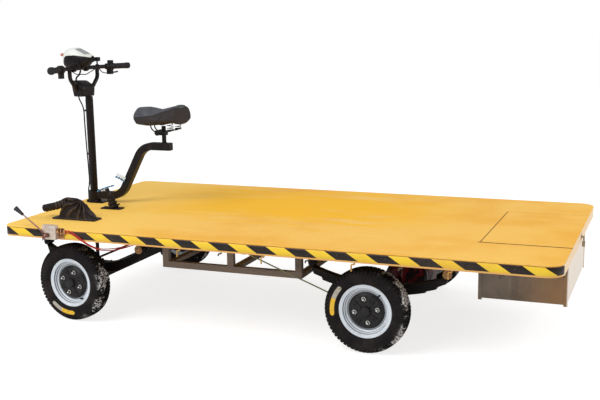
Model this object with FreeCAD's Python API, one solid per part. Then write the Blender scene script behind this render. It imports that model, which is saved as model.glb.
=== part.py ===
import FreeCAD, Part
import math
import os

# Electric platform cart. Millimetres. +X is forward, +Y the cart's left, +Z up.
# The origin is on the floor, on the middle plane, halfway along the overall length.
# The cart stands with its front wheels and handlebar turned a little to the right.

Vec = FreeCAD.Vector
UP = Vec(0, 0, 1)
LEFT = Vec(0, 1, 0)
SIDES = {"left": 1, "right": -1}

# ---- driving dimensions -------------------------------------------------------------------
deck_length, deck_width, deck_top, deck_depth = 3230.0, 1640.0, 584.0, 62.0
deck_mid_x, front_corner, rear_corner = -25.0, 54.0, 90.0
sheet, deck_lip = 4.0, 26.0
front_axle_x, rear_axle_x, axle_z = 1206.0, -620.0, 231.0
wheel_face_y = 708.0                 # outer face of the rim flange
tyre_radius, tyre_half, rim_radius, bead_radius = 231.3, 55.0, 145.0, 127.0
tread_blocks, block_depth = 31, 7.0
hub_radius, bolt_circle = 101.0, 65.0
spindle_radius = 17.0
rail_y, rail_width, rail_height, rail_top, rail_wall = 452.0, 44.0, 88.0, 530.0, 5.0
spring_y, spring_width, spring_eye_z, leaf_thickness = 450.0, 50.0, 409.0, 7.0
front_spring_reach, rear_spring_reach = 333.0, 389.0
beam_bottom, beam_top = 188.0, 240.0
kingpin_y, kingpin_radius = 545.0, 10.0
wheel_turn, bar_turn = -5.0, -11.0   # how far wheels and handlebar stand turned, degrees
arm_reach, drag_link_z = 110.0, 158.0
tie_arm_reach, tie_rod_z = 176.0, 243.0
link_radius, arm_thickness = 7.5, 10.0
column_x, column_radius, shaft_radius = 1487.0, 25.0, 12.0
column_top, column_foot = 1262.0, 306.0
cable_ahead, cable_radius, cable_clips = 35.0, 3.5, (1186.0, 900.0, 700.0)
bar_z, bar_ahead, bar_half, bar_radius = 1462.0, 36.0, 350.0, 13.0
riser_y, pod_split_z = 124.0, 1537.0
hatch_x, hatch_half, hatch_gap, hinge_gap = -1165.0, 430.0, 5.0, 5.0
box_half, box_back, box_bottom = 426.0, -1620.0, 281.0
cradle_front, cradle_back, cradle_y, cradle_bottom = 738.0, -158.0, 425.0, 301.0
seat_x, seat_tube_half, seat_bend = 943.0, 24.0, 118.0
brake_y, pedal_y = 541.0, 192.0
motor_radius, motor_back, motor_lift, motor_near_y = 78.0, 122.0, 62.0, 14.0
brake_lever_x, brake_lever_z = -430.0, 258.0

# ---- dimensions worked out from them ------------------------------------------------------
deck_front = deck_mid_x + deck_length / 2
deck_rear = deck_mid_x - deck_length / 2
deck_bottom = deck_top - deck_depth
half_width = deck_width / 2
plate_under = deck_top - sheet
tyre_mid_y = wheel_face_y - 44.0
rail_bottom = rail_top - rail_height
hinge_x, hinge_z, hinge_radius = hatch_x - hinge_gap / 2, deck_top - 1.75, 1.75
knob_foot = Vec(1433.0, half_width + 22, 667.0)


# ---- small makers -------------------------------------------------------------------------
def box(x0, x1, y0, y1, z0, z1):
    return Part.makeBox(x1 - x0, y1 - y0, z1 - z0, Vec(x0, y0, z0))


def rod(start, end, radius):
    start, end = Vec(*start), Vec(*end)
    return Part.makeCylinder(radius, (end - start).Length, start, end - start)


def upright(x, y, z0, z1, radius):
    return rod((x, y, z0), (x, y, z1), radius)


def fused(shapes):
    """One shape from pieces that touch or overlap, with the seams between flush faces removed."""
    return shapes[0].multiFuse(shapes[1:]).removeSplitter()


def polygon_face(points):
    return Part.Face(Part.makePolygon([Vec(*p) for p in points] + [Vec(*points[0])]))


def turned_ring(profile, centre, axis=LEFT):
    """A solid of revolution: profile holds (distance along the axis, radius) corners."""
    face = polygon_face([(radius, along, 0) for along, radius in profile])
    solid = face.revolve(Vec(0, 0, 0), LEFT, 360)
    solid.Placement = FreeCAD.Placement(Vec(*centre), FreeCAD.Rotation(LEFT, Vec(*axis)))
    return solid


def rounded_outline(x0, x1, y0, y1, radius, z, front_radius=None):
    """Wire of a rectangle with round corners, flat at height z; the corners at x1 may have their own radius."""
    front = radius if front_radius is None else front_radius
    edges, last = [], None
    for x, y, r, sx, sy in ((x1, y1, front, 1, 1), (x0, y1, radius, -1, 1), (x0, y0, radius, -1, -1),
                            (x1, y0, front, 1, -1)):
        cx, cy, h = x - sx * r, y - sy * r, r * math.sqrt(0.5)
        ends = [Vec(x, cy, z), Vec(cx, y, z)]
        if sx * sy < 0:
            ends.reverse()
        if last is not None:
            edges.append(Part.makeLine(last, ends[0]))
        edges.append(Part.Arc(ends[0], Vec(cx + sx * h, cy + sy * h, z), ends[1]).toShape())
        last = ends[1]
    edges.append(Part.makeLine(last, edges[0].Vertexes[0].Point))
    return Part.Wire(edges)


def rounded_plate(x0, x1, y0, y1, radius, z0, z1, front_radius=None):
    outline = rounded_outline(x0, x1, y0, y1, radius, z0, front_radius)
    return Part.Face(outline).extrude(Vec(0, 0, z1 - z0))


def edges_at(shape, z):
    """The edges that lie flat at height z."""
    return [e for e in shape.Edges if abs(e.BoundBox.ZMin - z) < 0.01 and e.BoundBox.ZLength < 0.01]


def bent_wire(points, bend):
    """Wire through the points with every inner corner rounded to the bend radius."""
    points = [Vec(*p) for p in points]
    edges, start = [], points[0]
    for before, corner, after in zip(points, points[1:], points[2:]):
        inward, outward = (before - corner).normalize(), (after - corner).normalize()
        half = inward.getAngle(outward) / 2
        run = bend / math.tan(half)
        first, second = corner + inward * run, corner + outward * run
        middle = corner + (inward + outward).normalize() * (bend / math.sin(half) - bend)
        edges.append(Part.makeLine(start, first))
        edges.append(Part.Arc(first, middle, second).toShape())
        start = second
    edges.append(Part.makeLine(start, points[-1]))
    return Part.Wire(edges)


def pipe(points, radius, bend):
    """A round bar or tube along straight runs and tangent arcs."""
    direction = Vec(*points[1]) - Vec(*points[0])
    ring = Part.Wire([Part.makeCircle(radius, Vec(*points[0]), direction)])
    return bent_wire(points, bend).makePipeShell([ring], True, False)


def mirrored(shape):
    return shape.mirror(Vec(0, 0, 0), LEFT)


def both_sides(shape):
    return Part.makeCompound(shape.Solids + mirrored(shape).Solids)


def turned(shape, x, y, degrees):
    """The shape turned about the upright line through x, y."""
    copy = shape.copy()
    copy.rotate(Vec(x, y, 0), UP, degrees)
    return copy


def save(name, shape):
    assert shape.isValid() and shape.Solids, name
    shape.exportStep("parts/" + name + ".step")


# ---- wheels -------------------------------------------------------------------------------
def tyre_shape():
    """Faceted tyre: the shoulders stand out as blocks in every other sector, and lie lower in between."""
    crown, shoulder = tyre_radius, tyre_radius - 6
    half_block = [(39, bead_radius + 0.6), (tyre_half, 176), (53, 202), (48, shoulder), (26, crown)]
    half_gap = [(39, bead_radius + 0.6), (tyre_half, 176), (53, 202), (47, shoulder - block_depth), (26, crown)]
    profiles = [half + [(-y, r) for y, r in reversed(half)] for half in (half_block, half_gap)]
    step = math.pi / tread_blocks
    faces = []
    for k in range(2 * tread_blocks):
        ends = []
        for angle in ((k - 0.5) * step, (k + 0.5) * step):
            ends.append([Vec(r * math.sin(angle), y, r * math.cos(angle)) for y, r in profiles[k % 2]])
        for i in range(len(ends[0])):
            j = (i + 1) % len(ends[0])
            faces.append(Part.Face(Part.makePolygon([ends[0][i], ends[1][i], ends[1][j], ends[0][j], ends[0][i]])))
        angle = (k + 0.5) * step
        for side in (1, -1):
            wall = [half_block[2], half_block[3], half_block[4], half_gap[3]]
            corners = [Vec(r * math.sin(angle), side * y, r * math.cos(angle)) for y, r in wall]
            faces.append(Part.Face(Part.makePolygon(corners + corners[:1])))
    return Part.Solid(Part.makeShell(faces))


def rim_shape():
    """Pressed steel rim, stepped dish outside, open barrel inside; y = 0 is the outer flange face."""
    profile = [(0, rim_radius), (0, 136), (-19, 125), (-30, 109), (-30, 62), (-35, 62), (-36, 112), (-84, 119),
               (-84, bead_radius), (-10, bead_radius)]
    return turned_ring(profile, (0, 0, 0))


def hub_shape(bolt_angle):
    """Black hub disc over the dish with four pockets, four bolts and a cap; sleeve and drum behind."""
    disc = turned_ring([(-30, 0), (-30, hub_radius), (-24, hub_radius), (-12, 86), (-10, 30), (6, 27), (8, 0)],
                       (0, 0, 0))
    drum = turned_ring([(-96, spindle_radius + 0.08), (-96, 104), (-52, 104), (-40, 60), (-30, 60), (-30, 0), (-35, 0),
                        (-35, spindle_radius + 0.08)], (0, 0, 0))
    body = disc.fuse(drum)
    bolts = []
    for k in range(4):
        angle = math.radians(bolt_angle + 90 * k)
        x, z = bolt_circle * math.cos(angle), bolt_circle * math.sin(angle)
        bolts.append(rod((x, -14, z), (x, -1, z), 9))
        middle = angle + math.pi / 4
        x, z = bolt_circle * math.cos(middle), bolt_circle * math.sin(middle)
        body = body.cut(rod((x, -15, z), (x, 5, z), 14))
    return body.multiFuse(bolts)


def place_wheel(shape, x, side, y):
    """Seat a wheel piece made for the left side on its axle; right wheels are mirrored."""
    piece = shape.copy()
    piece.translate(Vec(x, y, axle_z))
    return piece if side > 0 else mirrored(piece)


def steered(shape, side):
    """Turn a front piece with its kingpin to where the wheels stand."""
    return turned(shape, front_axle_x, side * kingpin_y, wheel_turn)


def make_wheels():
    tyre, rim = tyre_shape(), rim_shape()
    for end, x, bolt_angle in (("front", front_axle_x, 19.0), ("rear", rear_axle_x, 80.0)):
        hub = hub_shape(bolt_angle)
        for side_name, side in SIDES.items():
            pieces = {"tyre": (tyre, tyre_mid_y), "rim": (rim, wheel_face_y), "hub": (hub, wheel_face_y)}
            for piece, (shape, y) in pieces.items():
                placed = place_wheel(shape, x, side, y)
                if end == "front":
                    placed = steered(placed, side)
                save(f"{piece}_{end}_{side_name}", placed)


# ---- deck ---------------------------------------------------------------------------------
def deck_cutouts():
    """What is cut from the plate: the hatch, open to the rear edge, and the hole for the column."""
    hatch = box(deck_rear - 1, hatch_x, -hatch_half, hatch_half, plate_under - 1, deck_top + 1)
    return [hatch, upright(column_x, 0, plate_under - 1, deck_top + 1, column_radius)]


def deck_plate():
    """Top sheet with a softly broken edge, cut out for the hatch and the column."""
    plate = rounded_plate(deck_rear, deck_front, -half_width, half_width, rear_corner, plate_under, deck_top,
                          front_corner)
    plate = plate.makeFillet(2.5, edges_at(plate, deck_top))
    for cutout in deck_cutouts():
        plate = plate.cut(cutout)
    return plate


def deck_band():
    """Folded band round the plate with its inward flange below: straight lengths, butted to rounded corners."""
    rings = []
    for inset, low, high in ((0, deck_bottom, plate_under), (sheet, deck_bottom + sheet, plate_under + 1),
                             (deck_lip, deck_bottom - 1, deck_bottom + sheet + 1)):
        rings.append(rounded_plate(deck_rear + inset, deck_front - inset, inset - half_width, half_width - inset,
                                   rear_corner - inset, low, high, front_corner - inset))
    band = rings[0].cut(rings[1]).cut(rings[2])
    gap, reach = 0.1, deck_lip + 10
    z0, z1 = deck_bottom - 1, plate_under + 1
    for end, corner, inward in ((deck_front, front_corner, -1), (deck_rear, rear_corner, 1)):
        joint_x, joint_y = end + inward * corner, half_width - corner
        end_x = sorted((end - inward, end + inward * reach))
        for cutter in (box(joint_x - gap, joint_x + gap, half_width - reach, half_width + 1, z0, z1),
                       box(end_x[0], end_x[1], joint_y - gap, joint_y + gap, z0, z1)):
            band = band.cut(cutter).cut(mirrored(cutter))
    return band


def deck_bearers():
    """Cross tubes between rails and plate."""
    return Part.makeCompound([box(x - 25, x + 25, -half_width + sheet, half_width - sheet, rail_top, plate_under)
                              for x in (1400, 1060, 560, 60, -440, -800, -1120)])


def hatch_ledge():
    """Flat frame under the edge of the hatch opening, on which the lid rests."""
    rim, depth = 20, 5
    z0, z1 = plate_under - depth, plate_under
    ledge = box(deck_rear + sheet, hatch_x + 18, -hatch_half - rim, hatch_half + rim, z0, z1)
    return ledge.cut(box(deck_rear + 24, hatch_x - 30, -hatch_half + rim, hatch_half - rim, z0 - 1, z1 + 1))


def chassis_rails():
    """Two channel rails, open inward, their top flanges let in under the deck's front flange."""
    half = rail_width / 2
    back, front = deck_rear + 30, deck_front - sheet
    rail = box(back, front, rail_y - half, rail_y + half, rail_bottom, rail_top)
    rail = rail.cut(box(back - 1, front + 1, rail_y - half - 1, rail_y + half - rail_wall, rail_bottom + rail_wall,
                        rail_top - rail_wall))
    rail = rail.cut(box(deck_front - deck_lip - 1, front + 1, rail_y - half - 1, rail_y + half + 1, deck_bottom,
                        rail_top + 1))
    return both_sides(rail)


def cross_members():
    """Box sections that tie the webs of the two rails."""
    span = rail_y + rail_width / 2 - rail_wall
    return Part.makeCompound([box(x - 20, x + 20, -span, span, rail_bottom + 20, rail_bottom + 60)
                              for x in (1400, 800, -220, -1080)])


def hinge_knuckles(moving):
    """Knuckles of the long hinge in the front seam, each with its tab: the lid's ones or the deck's."""
    count, pin = 11, 0.9
    pitch = 2 * (hatch_half - hatch_gap) / count
    edge = hatch_x - hinge_gap if moving else hatch_x
    tab_x = sorted((hinge_x, edge))
    pieces = []
    for k in range(1 if moving else 0, count, 2):
        y0 = hatch_gap - hatch_half + k * pitch + 0.3
        y1 = y0 + pitch - 0.6
        piece = rod((hinge_x, y0, hinge_z), (hinge_x, y1, hinge_z), hinge_radius)
        piece = piece.fuse(box(tab_x[0], tab_x[1], y0, y1, hinge_z - 0.8, deck_top - 0.6))
        if moving:
            piece = piece.cut(rod((hinge_x, y0 - 1, hinge_z), (hinge_x, y1 + 1, hinge_z), pin + 0.05))
        pieces.append(piece)
    if not moving:
        half = hatch_half - hatch_gap
        pieces.append(rod((hinge_x, -half, hinge_z), (hinge_x, half, hinge_z), pin))
    return pieces


def hatch_hinge():
    return fused(hinge_knuckles(False))


def hatch_lid():
    """Lid plate, flush with the deck's rear edge, a stiffening frame beneath and the lid's hinge knuckles."""
    back, front, half = deck_rear, hatch_x - hinge_gap, hatch_half - hatch_gap
    rise = 0.5
    plate = box(back, front, -half, half, plate_under + rise, deck_top)
    inset, width, depth = 38, 30, 22
    frame = box(back + inset, front - inset, inset - half, half - inset, plate_under - depth, plate_under + rise)
    inset += width
    hollow = box(back + inset, front - inset, inset - half, half - inset, plate_under - depth - 1, plate_under)
    return fused([plate, frame.cut(hollow)] + hinge_knuckles(True))


def hatch_latch():
    """Hasp staple and padlock on the middle of the rear band."""
    x = deck_rear - 15
    staple = pipe([(deck_rear, -10, 552), (x, -10, 552), (x, 10, 552), (deck_rear, 10, 552)], 3, 5)
    back_plate = box(deck_rear - 3, deck_rear, -18, 18, 540, 566)
    lock = rounded_plate(x - 8, x + 8, -15, 15, 4, 500, 526)
    shackle = pipe([(x, -10, 524), (x, -10, 550), (x, 10, 550), (x, 10, 524)], 3, 8)
    return fused([staple, back_plate, lock, shackle])


def rear_box_sheets():
    """Side, end and floor sheets of the steel box under the hatch, each a flat plate with butted edges."""
    wall = 3
    inner = box_half - wall
    side = box(box_back, hatch_x, inner, box_half, box_bottom, deck_bottom)
    ends = [box(x0, x0 + wall, -inner, inner, box_bottom, deck_bottom) for x0 in (box_back, hatch_x - wall)]
    floor = box(box_back + wall, hatch_x - wall, -inner, inner, box_bottom, box_bottom + wall)
    return both_sides(side), Part.makeCompound(ends), floor


def box_angles():
    """Steel angles that hold the box's corners and reach up between the rails, with short feet below."""
    leg, angle_wall = 20, 4
    post_half = box_half + angle_wall
    pieces = []
    for x, toward in ((box_back, 1), (hatch_x, -1)):
        x0, x1 = sorted((x - toward * angle_wall, x + toward * (leg - angle_wall)))
        angle = box(x0, x1, post_half - leg, post_half, box_bottom - 9, deck_bottom)
        x0, x1 = sorted((x, x + toward * leg))
        angle = angle.cut(box(x0, x1, post_half - leg - 1, box_half, box_bottom - 10, deck_bottom + 1))
        pieces += [angle, mirrored(angle)]
    return Part.makeCompound(pieces)


def battery_cradle():
    """Welded frame hung under the rails: bottom rails, three posts a side with feet, cross bars."""
    tall, wide, half = 38, 40, 15
    middle = (cradle_back + cradle_front - wide) / 2
    side, crosses = [box(cradle_back, cradle_front, cradle_y - half, cradle_y + half, cradle_bottom,
                         cradle_bottom + tall)], []
    for x in (cradle_back, middle, cradle_front - wide):
        side.append(box(x, x + wide, cradle_y - half, cradle_y + half, cradle_bottom + tall, rail_bottom))
        side.append(box(x, x + wide, cradle_y + half, rail_y + rail_width / 2, rail_bottom - 5, rail_bottom))
        crosses.append(box(x, x + wide, -cradle_y, cradle_y, cradle_bottom, cradle_bottom + 25))
    side = fused(side)
    return fused([side, mirrored(side)] + crosses)


def rope_hooks():
    """Bent lashing hooks under both long edges of the deck, short and long in turn."""
    hooks, y = [], half_width - 8
    for k in range(9):
        x, reach = 686 - 253.2 * k, 48 if k % 2 else 24
        hooks.append(pipe([(x - 18, y, deck_bottom), (x - 18, y, deck_bottom - 11), (x, y, deck_bottom - 11),
                           (x, y, deck_bottom - reach)], 4, 6))
    return Part.makeCompound(hooks + [mirrored(hook) for hook in hooks])


# ---- axles and springs --------------------------------------------------------------------
def leaf_spring(axle_x, reach, seat_z):
    """A pack of curved leaves, in groups that step shorter, the top one with an eye at each end."""
    reaches = [reach - 3 * k for k in range(5)] + [reach - 62, reach - 65, reach - 124]
    top_z = seat_z + len(reaches) * leaf_thickness
    sag = spring_eye_z - 17 - top_z
    radius = (reach ** 2 + sag ** 2) / (2 * sag)
    leaves = []
    for k, half_length in enumerate(reaches):
        arcs = []
        for r in (radius + leaf_thickness * k, radius + leaf_thickness * (k + 1)):
            arcs.append([Vec(axle_x + x, 0, top_z + radius - math.sqrt(r * r - x * x))
                         for x in (-half_length, 0, half_length)])
        upper, lower = arcs
        edges = [Part.Arc(*upper).toShape(), Part.makeLine(upper[2], lower[2]),
                 Part.Arc(*reversed(lower)).toShape(), Part.makeLine(lower[0], upper[0])]
        leaves.append(Part.Face(Part.Wire(edges)).extrude(Vec(0, spring_width, 0)))
    pack = fused(leaves)
    pack.translate(Vec(0, spring_y - spring_width / 2, 0))
    near, far = spring_y - spring_width / 2, spring_y + spring_width / 2
    for x in (axle_x - reach, axle_x + reach):
        pack = pack.fuse(rod((x, near, spring_eye_z), (x, far, spring_eye_z), 18))
        pack = pack.cut(rod((x, near - 1, spring_eye_z), (x, far + 1, spring_eye_z), 8))
    return pack


def spring_mount(x, swinging):
    """Two cheeks from the rail down to a spring eye, with its bolt; the rear pair swings and has bushes."""
    half = spring_width / 2
    cheek_half, round_radius = (14, 26) if swinging else (17, 17)
    pieces = [rod((x, spring_y - half - 14, spring_eye_z), (x, spring_y + half + 14, spring_eye_z), 7.5)]
    for y0 in (spring_y - half - 6, spring_y + half + 1):
        pieces.append(box(x - cheek_half, x + cheek_half, y0, y0 + 5, spring_eye_z, rail_bottom))
        pieces.append(rod((x, y0, spring_eye_z), (x, y0 + 5, spring_eye_z), round_radius))
    pieces.append(box(x - cheek_half, x + cheek_half, spring_y - half - 6, spring_y + half + 6, rail_bottom - 6,
                      rail_bottom))
    return fused(pieces)


def axle_clamp(axle_x, seat_z, under, half_beam):
    """Plate under the axle and two U-bolts over the spring pack."""
    half = spring_width / 2
    top = seat_z + 8 * leaf_thickness
    pieces = [box(axle_x - half_beam - 22, axle_x + half_beam + 22, spring_y - half - 16, spring_y + half + 16,
                  under - 7, under)]
    for x in (axle_x - half_beam - 8, axle_x + half_beam + 8):
        near, far = spring_y - half - 6, spring_y + half + 6
        pieces.append(pipe([(x, near, under - 12), (x, near, top + 16), (x, far, top + 16), (x, far, under - 12)],
                           5, 9))
    pieces.append(box(axle_x - half_beam - 16, axle_x + half_beam + 16, spring_y - half + 4, spring_y + half - 4,
                      top + 1.5, top + 12))
    return fused(pieces)


def front_axle_beam(seat_z):
    """Square beam with a kingpin boss at each end and spring seats on top."""
    x, y = front_axle_x, kingpin_y
    beam = box(x - 25, x + 25, -y + 50, y - 50, beam_bottom, beam_top)
    side = fused([box(x - 22, x + 22, y - 62, y - 18, 196, 262), upright(x, y, 186, 276, 27),
                  box(x - 30, x + 30, spring_y - 30, spring_y + 30, beam_top, seat_z)])
    axle = fused([beam, side, mirrored(side)])
    for end_y in (-y, y):
        axle = axle.cut(upright(x, end_y, 180, 280, kingpin_radius + 0.06))
    return axle


def knuckle(side):
    """Fork round the kingpin boss, kingpin, spindle, brake plate and the steering arms."""
    x, y = front_axle_x, kingpin_y
    pieces = [upright(x, y, 160, 298, kingpin_radius), box(x - 30, x + 30, y + 31, y + 45, 170, 292),
              rod((x, y + 40, axle_z), (x, wheel_face_y - 36, axle_z), spindle_radius),
              rod((x, y + 45, axle_z), (x, y + 50, axle_z), 106)]
    for z in (170, 278):
        pieces += [upright(x, y, z, z + 14, 27), box(x - 24, x + 24, y, y + 40, z, z + 14)]
    tie_z = tie_rod_z - 14
    tie_x = x + tie_arm_reach
    low = tie_z - arm_thickness
    corners = [(x + 8, y + 32, low), (x + 8, y + 46, low), (x + 60, y + 46, low), (tie_x + 6, y + 13, low),
               (tie_x - 6, y - 13, low), (x + 46, y + 32, low)]
    pieces += [polygon_face(corners).extrude(Vec(0, 0, arm_thickness)), upright(tie_x, y, low, tie_z, 14)]
    holes = [upright(tie_x, y, tie_z - 20, tie_z + 20, 6.06)]
    if side > 0:
        drag_x, drag_z = x - arm_reach, drag_link_z + 14
        pieces += [box(drag_x, x, y - 15, y + 15, drag_z, drag_z + 12),
                   upright(drag_x, y, drag_z, drag_z + 12, 15)]
        holes.append(upright(drag_x, y, drag_z - 10, drag_z + 20, 6.06))
    shape = fused(pieces)
    for hole in holes:
        shape = shape.cut(hole)
    return steered(shape if side > 0 else mirrored(shape), side)


def arm_end(x, y, reach):
    """Where an arm of that reach ends, from the pivot at x, y, as the wheels stand."""
    angle = math.radians(wheel_turn)
    return x + reach * math.cos(angle), y + reach * math.sin(angle)


def link_between(a, b, z, pin_up):
    """A round link with an eye block and a pin at each end, the pins pointing up or down."""
    a, b = Vec(a[0], a[1], z), Vec(b[0], b[1], z)
    pieces = [Part.makeCylinder(link_radius, (b - a).Length, a, b - a)]
    for end in (a, b):
        pieces.append(Part.makeCylinder(13, 22, end - UP * 11, UP))
        pieces.append(Part.makeCylinder(6, 34, end, UP if pin_up else UP * -1))
    return fused(pieces)


def rear_axle(seat_z):
    """Live axle: tube, gear housing, brake plates, stub ends and spring seats."""
    x, z = rear_axle_x, axle_z
    pieces = [rod((x, -596, z), (x, 596, z), 29),
              turned_ring([(-75, 0), (-75, 78), (-45, 105), (35, 105), (70, 72), (70, 0)], (x, -60, z)),
              box(x - motor_back - 60, x, -120, motor_near_y, z - 40, z + motor_lift + 60)]
    side = fused([rod((x, 590, z), (x, 596, z), 106), rod((x, 590, z), (x, wheel_face_y - 36, z), spindle_radius),
                  box(x - 29, x + 29, spring_y - 30, spring_y + 30, z, seat_z),
                  box(x + 60, brake_lever_x, 580, 590, brake_lever_z - 8, brake_lever_z + 8)])
    return fused(pieces + [side, mirrored(side)])


def drive_motor():
    """Motor bolted to the gear housing behind the axle, with cooling ribs round it."""
    rib, groove = motor_radius, motor_radius - 6
    profile = [(0, 0), (0, rib - 10), (18, rib)]
    for k in range(4):
        start = 32 + 28 * k
        profile += [(start, rib), (start, groove), (start + 12, groove), (start + 12, rib)]
    profile += [(156, rib), (172, rib - 12), (172, 0)]
    return turned_ring(profile, (rear_axle_x - motor_back, motor_near_y, axle_z + motor_lift))


# ---- steering -----------------------------------------------------------------------------
def column_housing():
    """Fixed tube through the deck on a round flange, with a clamp collar and a brace to the cross member."""
    pieces = [upright(column_x, 0, column_foot, column_top, column_radius),
              upright(column_x, 0, deck_top, deck_top + 7, 54),
              box(column_x - 97, column_x, -50, 62, deck_top, deck_top + 7),
              upright(column_x, 0, deck_top + 7, 658, 40),
              box(1420, column_x, -22, 22, 468, 500)]
    pieces += [box(column_x + column_radius - 4, column_x + cable_ahead - cable_radius, -7, 7, z - 5, z + 5)
               for z in cable_clips]
    return fused(pieces).cut(upright(column_x, 0, column_foot - 1, column_top + 1, shaft_radius + 0.05))


def steering_shaft():
    """Inner shaft with a top disc and the pitman arm at its foot, pointing back."""
    arm_z = drag_link_z + 14
    end = column_x - arm_reach
    pieces = [upright(column_x, 0, arm_z, 1290, shaft_radius), upright(column_x, 0, column_top + 1, 1279, 24),
              box(end, column_x, -15, 15, arm_z, arm_z + 12), upright(end, 0, arm_z, arm_z + 12, 15),
              upright(column_x, 0, arm_z, arm_z + 26, 22)]
    shape = fused(pieces).cut(upright(end, 0, arm_z - 10, arm_z + 20, 6.06))
    return turned(shape, column_x, 0, wheel_turn)


def bar_turned(shape):
    return turned(shape, column_x, 0, bar_turn)


def handlebar():
    """Swept cross bar on two risers that come up out of the sides of the top box."""
    ahead, swept = column_x + bar_ahead, column_x - 34
    bar = pipe([(swept, -bar_half, bar_z), (ahead, -150, bar_z), (ahead, 150, bar_z), (swept, bar_half, bar_z)],
               bar_radius, 90)
    riser = pipe([(ahead, riser_y, bar_z), (ahead, riser_y, 1396), (ahead + 2, 66, 1322)], bar_radius, 60)
    return fused([bar, riser, mirrored(riser)])


def bar_run(side):
    """Start at the end of the bar and unit vector inward along its last straight run."""
    start = Vec(column_x - 34, side * bar_half, bar_z)
    return start, (Vec(column_x + bar_ahead, side * 150, bar_z) - start).normalize()


def grips():
    """Rubber grips, bored for the bar, closed at the end by a rounded cap; the left one is thicker there."""
    pieces = []
    for side, flare in ((1, 24.5), (-1, 20.5)):
        start, inward = bar_run(side)
        grip = Part.makeCylinder(19, 112, start, inward)
        cap = Part.makeCone(flare - 5, flare, 5, start - inward * 9, inward)
        cap = cap.fuse([Part.makeCylinder(flare, 20, start - inward * 4, inward),
                        Part.makeCone(flare, 19, 22, start + inward * 16, inward)])
        pieces.append(fused([grip, cap]).cut(Part.makeCylinder(bar_radius + 0.02, 130, start, inward)))
    return Part.makeCompound(pieces)


def bar_controls():
    """Throttle drum with its block on the left; switch cluster, lever perch and brake lever on the right."""
    bore = bar_radius + 0.02
    start, inward = bar_run(1)
    drum = Part.makeCylinder(27, 30, start + inward * 116, inward)
    drum = drum.fuse([Part.makeCylinder(22, 44, start + inward * 113, inward),
                      rounded_plate(-17, 17, -13, 13, 5, -56, -12).translated(start + inward * 134)])
    drum = drum.cut(Part.makeCylinder(bore, 60, start + inward * 104, inward))
    start, inward = bar_run(-1)
    clamp = start + inward * 158
    cluster = Part.makeCylinder(25, 34, start + inward * 115, inward)
    cluster = cluster.fuse([Part.makeCylinder(20, 20, clamp - inward * 10, inward),
                            rounded_plate(-14, 24, -16, 16, 7, -52, 10).translated(start + inward * 134),
                            rounded_plate(-18, 20, -12, 12, 5, 14, 40).translated(start + inward * 132)])
    cluster = cluster.cut(Part.makeCylinder(bore, 90, start + inward * 104, inward))
    pivot, tip = start + inward * 134, start + inward * 46
    lever = pipe([(pivot.x + 16, pivot.y, bar_z - 44), (pivot.x + 34, pivot.y - 26, bar_z - 46),
                  (tip.x + 42, tip.y, bar_z - 40)], 5, 16)
    return Part.makeCompound([drum, cluster.fuse(lever)])


def bar_unit():
    """Small switch unit that sits on the bar to the right of the pod."""
    x, y = column_x + bar_ahead, -128
    body = rounded_plate(x - 18, x + 18, y - 16, y + 16, 6, bar_z + 38, bar_z + 64)
    foot = upright(x, y, bar_z + 8, bar_z + 40, 5).fuse(box(x - 10, x + 10, y - 6, y + 6, bar_z + 6, bar_z + 18))
    return fused([body, foot]).cut(rod((x, y - 9, bar_z), (x, y + 9, bar_z), bar_radius + 0.02))


def top_box():
    """Control box at the head of the column: round corners, a lid that slopes back, a front that leans in below."""
    x, half, low, high = column_x, 70, 1279, 1382
    shape = rounded_plate(x - 14, x + 99, -half, half, 34, low, high)
    above = polygon_face([(x - 30, -half, 1334), (x + 58, -half, high), (x + 58, -half, high + 20),
                          (x - 30, -half, high + 20)])
    front = polygon_face([(x + 110, -half, low - 1), (x + 75, -half, low - 1), (x + 75, -half, 1306),
                          (x + 69, -half, 1310), (x + 100, -half, 1372), (x + 110, -half, 1372)])
    for cutter in (above, front):
        shape = shape.cut(cutter.extrude(Vec(0, 2 * half, 0)))
    return shape.cut(upright(x, 0, low - 9, low + 11, shaft_radius + 0.02))


def bar_pod():
    """Headlamp and meter pod: a beaked loft over the bar, parted into a dark body and a pale crowned hood."""
    def loft(inset):
        stations = [(-52, 10, 1516, 1541), (-30, 26, 1503, 1551), (6, 47, 1474, 1567), (56, 64, 1452, 1585),
                    (98, 70, 1446, 1592), (142, 68, 1452, 1580), (172, 58, 1466, 1560), (186, 42, 1486, 1534)]
        wires = []
        for along, half, low, high in stations:
            x, w, z0, z1 = column_x + along, half - inset, low + inset, high - inset
            middle = (z0 + z1) / 2
            points = [Vec(x, 0, z1), Vec(x, 0.7 * w, z1 - 0.2 * (z1 - z0)), Vec(x, w, middle),
                      Vec(x, 0.75 * w, z0 + 0.1 * (z1 - z0)), Vec(x, 0, z0)]
            points += [Vec(x, -point.y, point.z) for point in reversed(points[1:-1])]
            curve = Part.BSplineCurve()
            curve.interpolate(points, PeriodicFlag=True)
            wires.append(Part.Wire([curve.toShape()]))
        return Part.makeLoft(wires, True, False)

    x, z = column_x, pod_split_z
    border = [(x - 70, z), (x + 20, z), (x + 84, z + 4), (x + 130, z + 5), (x + 156, 1518), (x + 170, 1470),
              (x + 172, 1430), (x + 220, 1430), (x + 220, 1620), (x - 70, 1620)]
    above = polygon_face([(a, -90, b) for a, b in border]).extrude(Vec(0, 180, 0))
    return loft(4).cut(above), loft(0).common(above)


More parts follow.
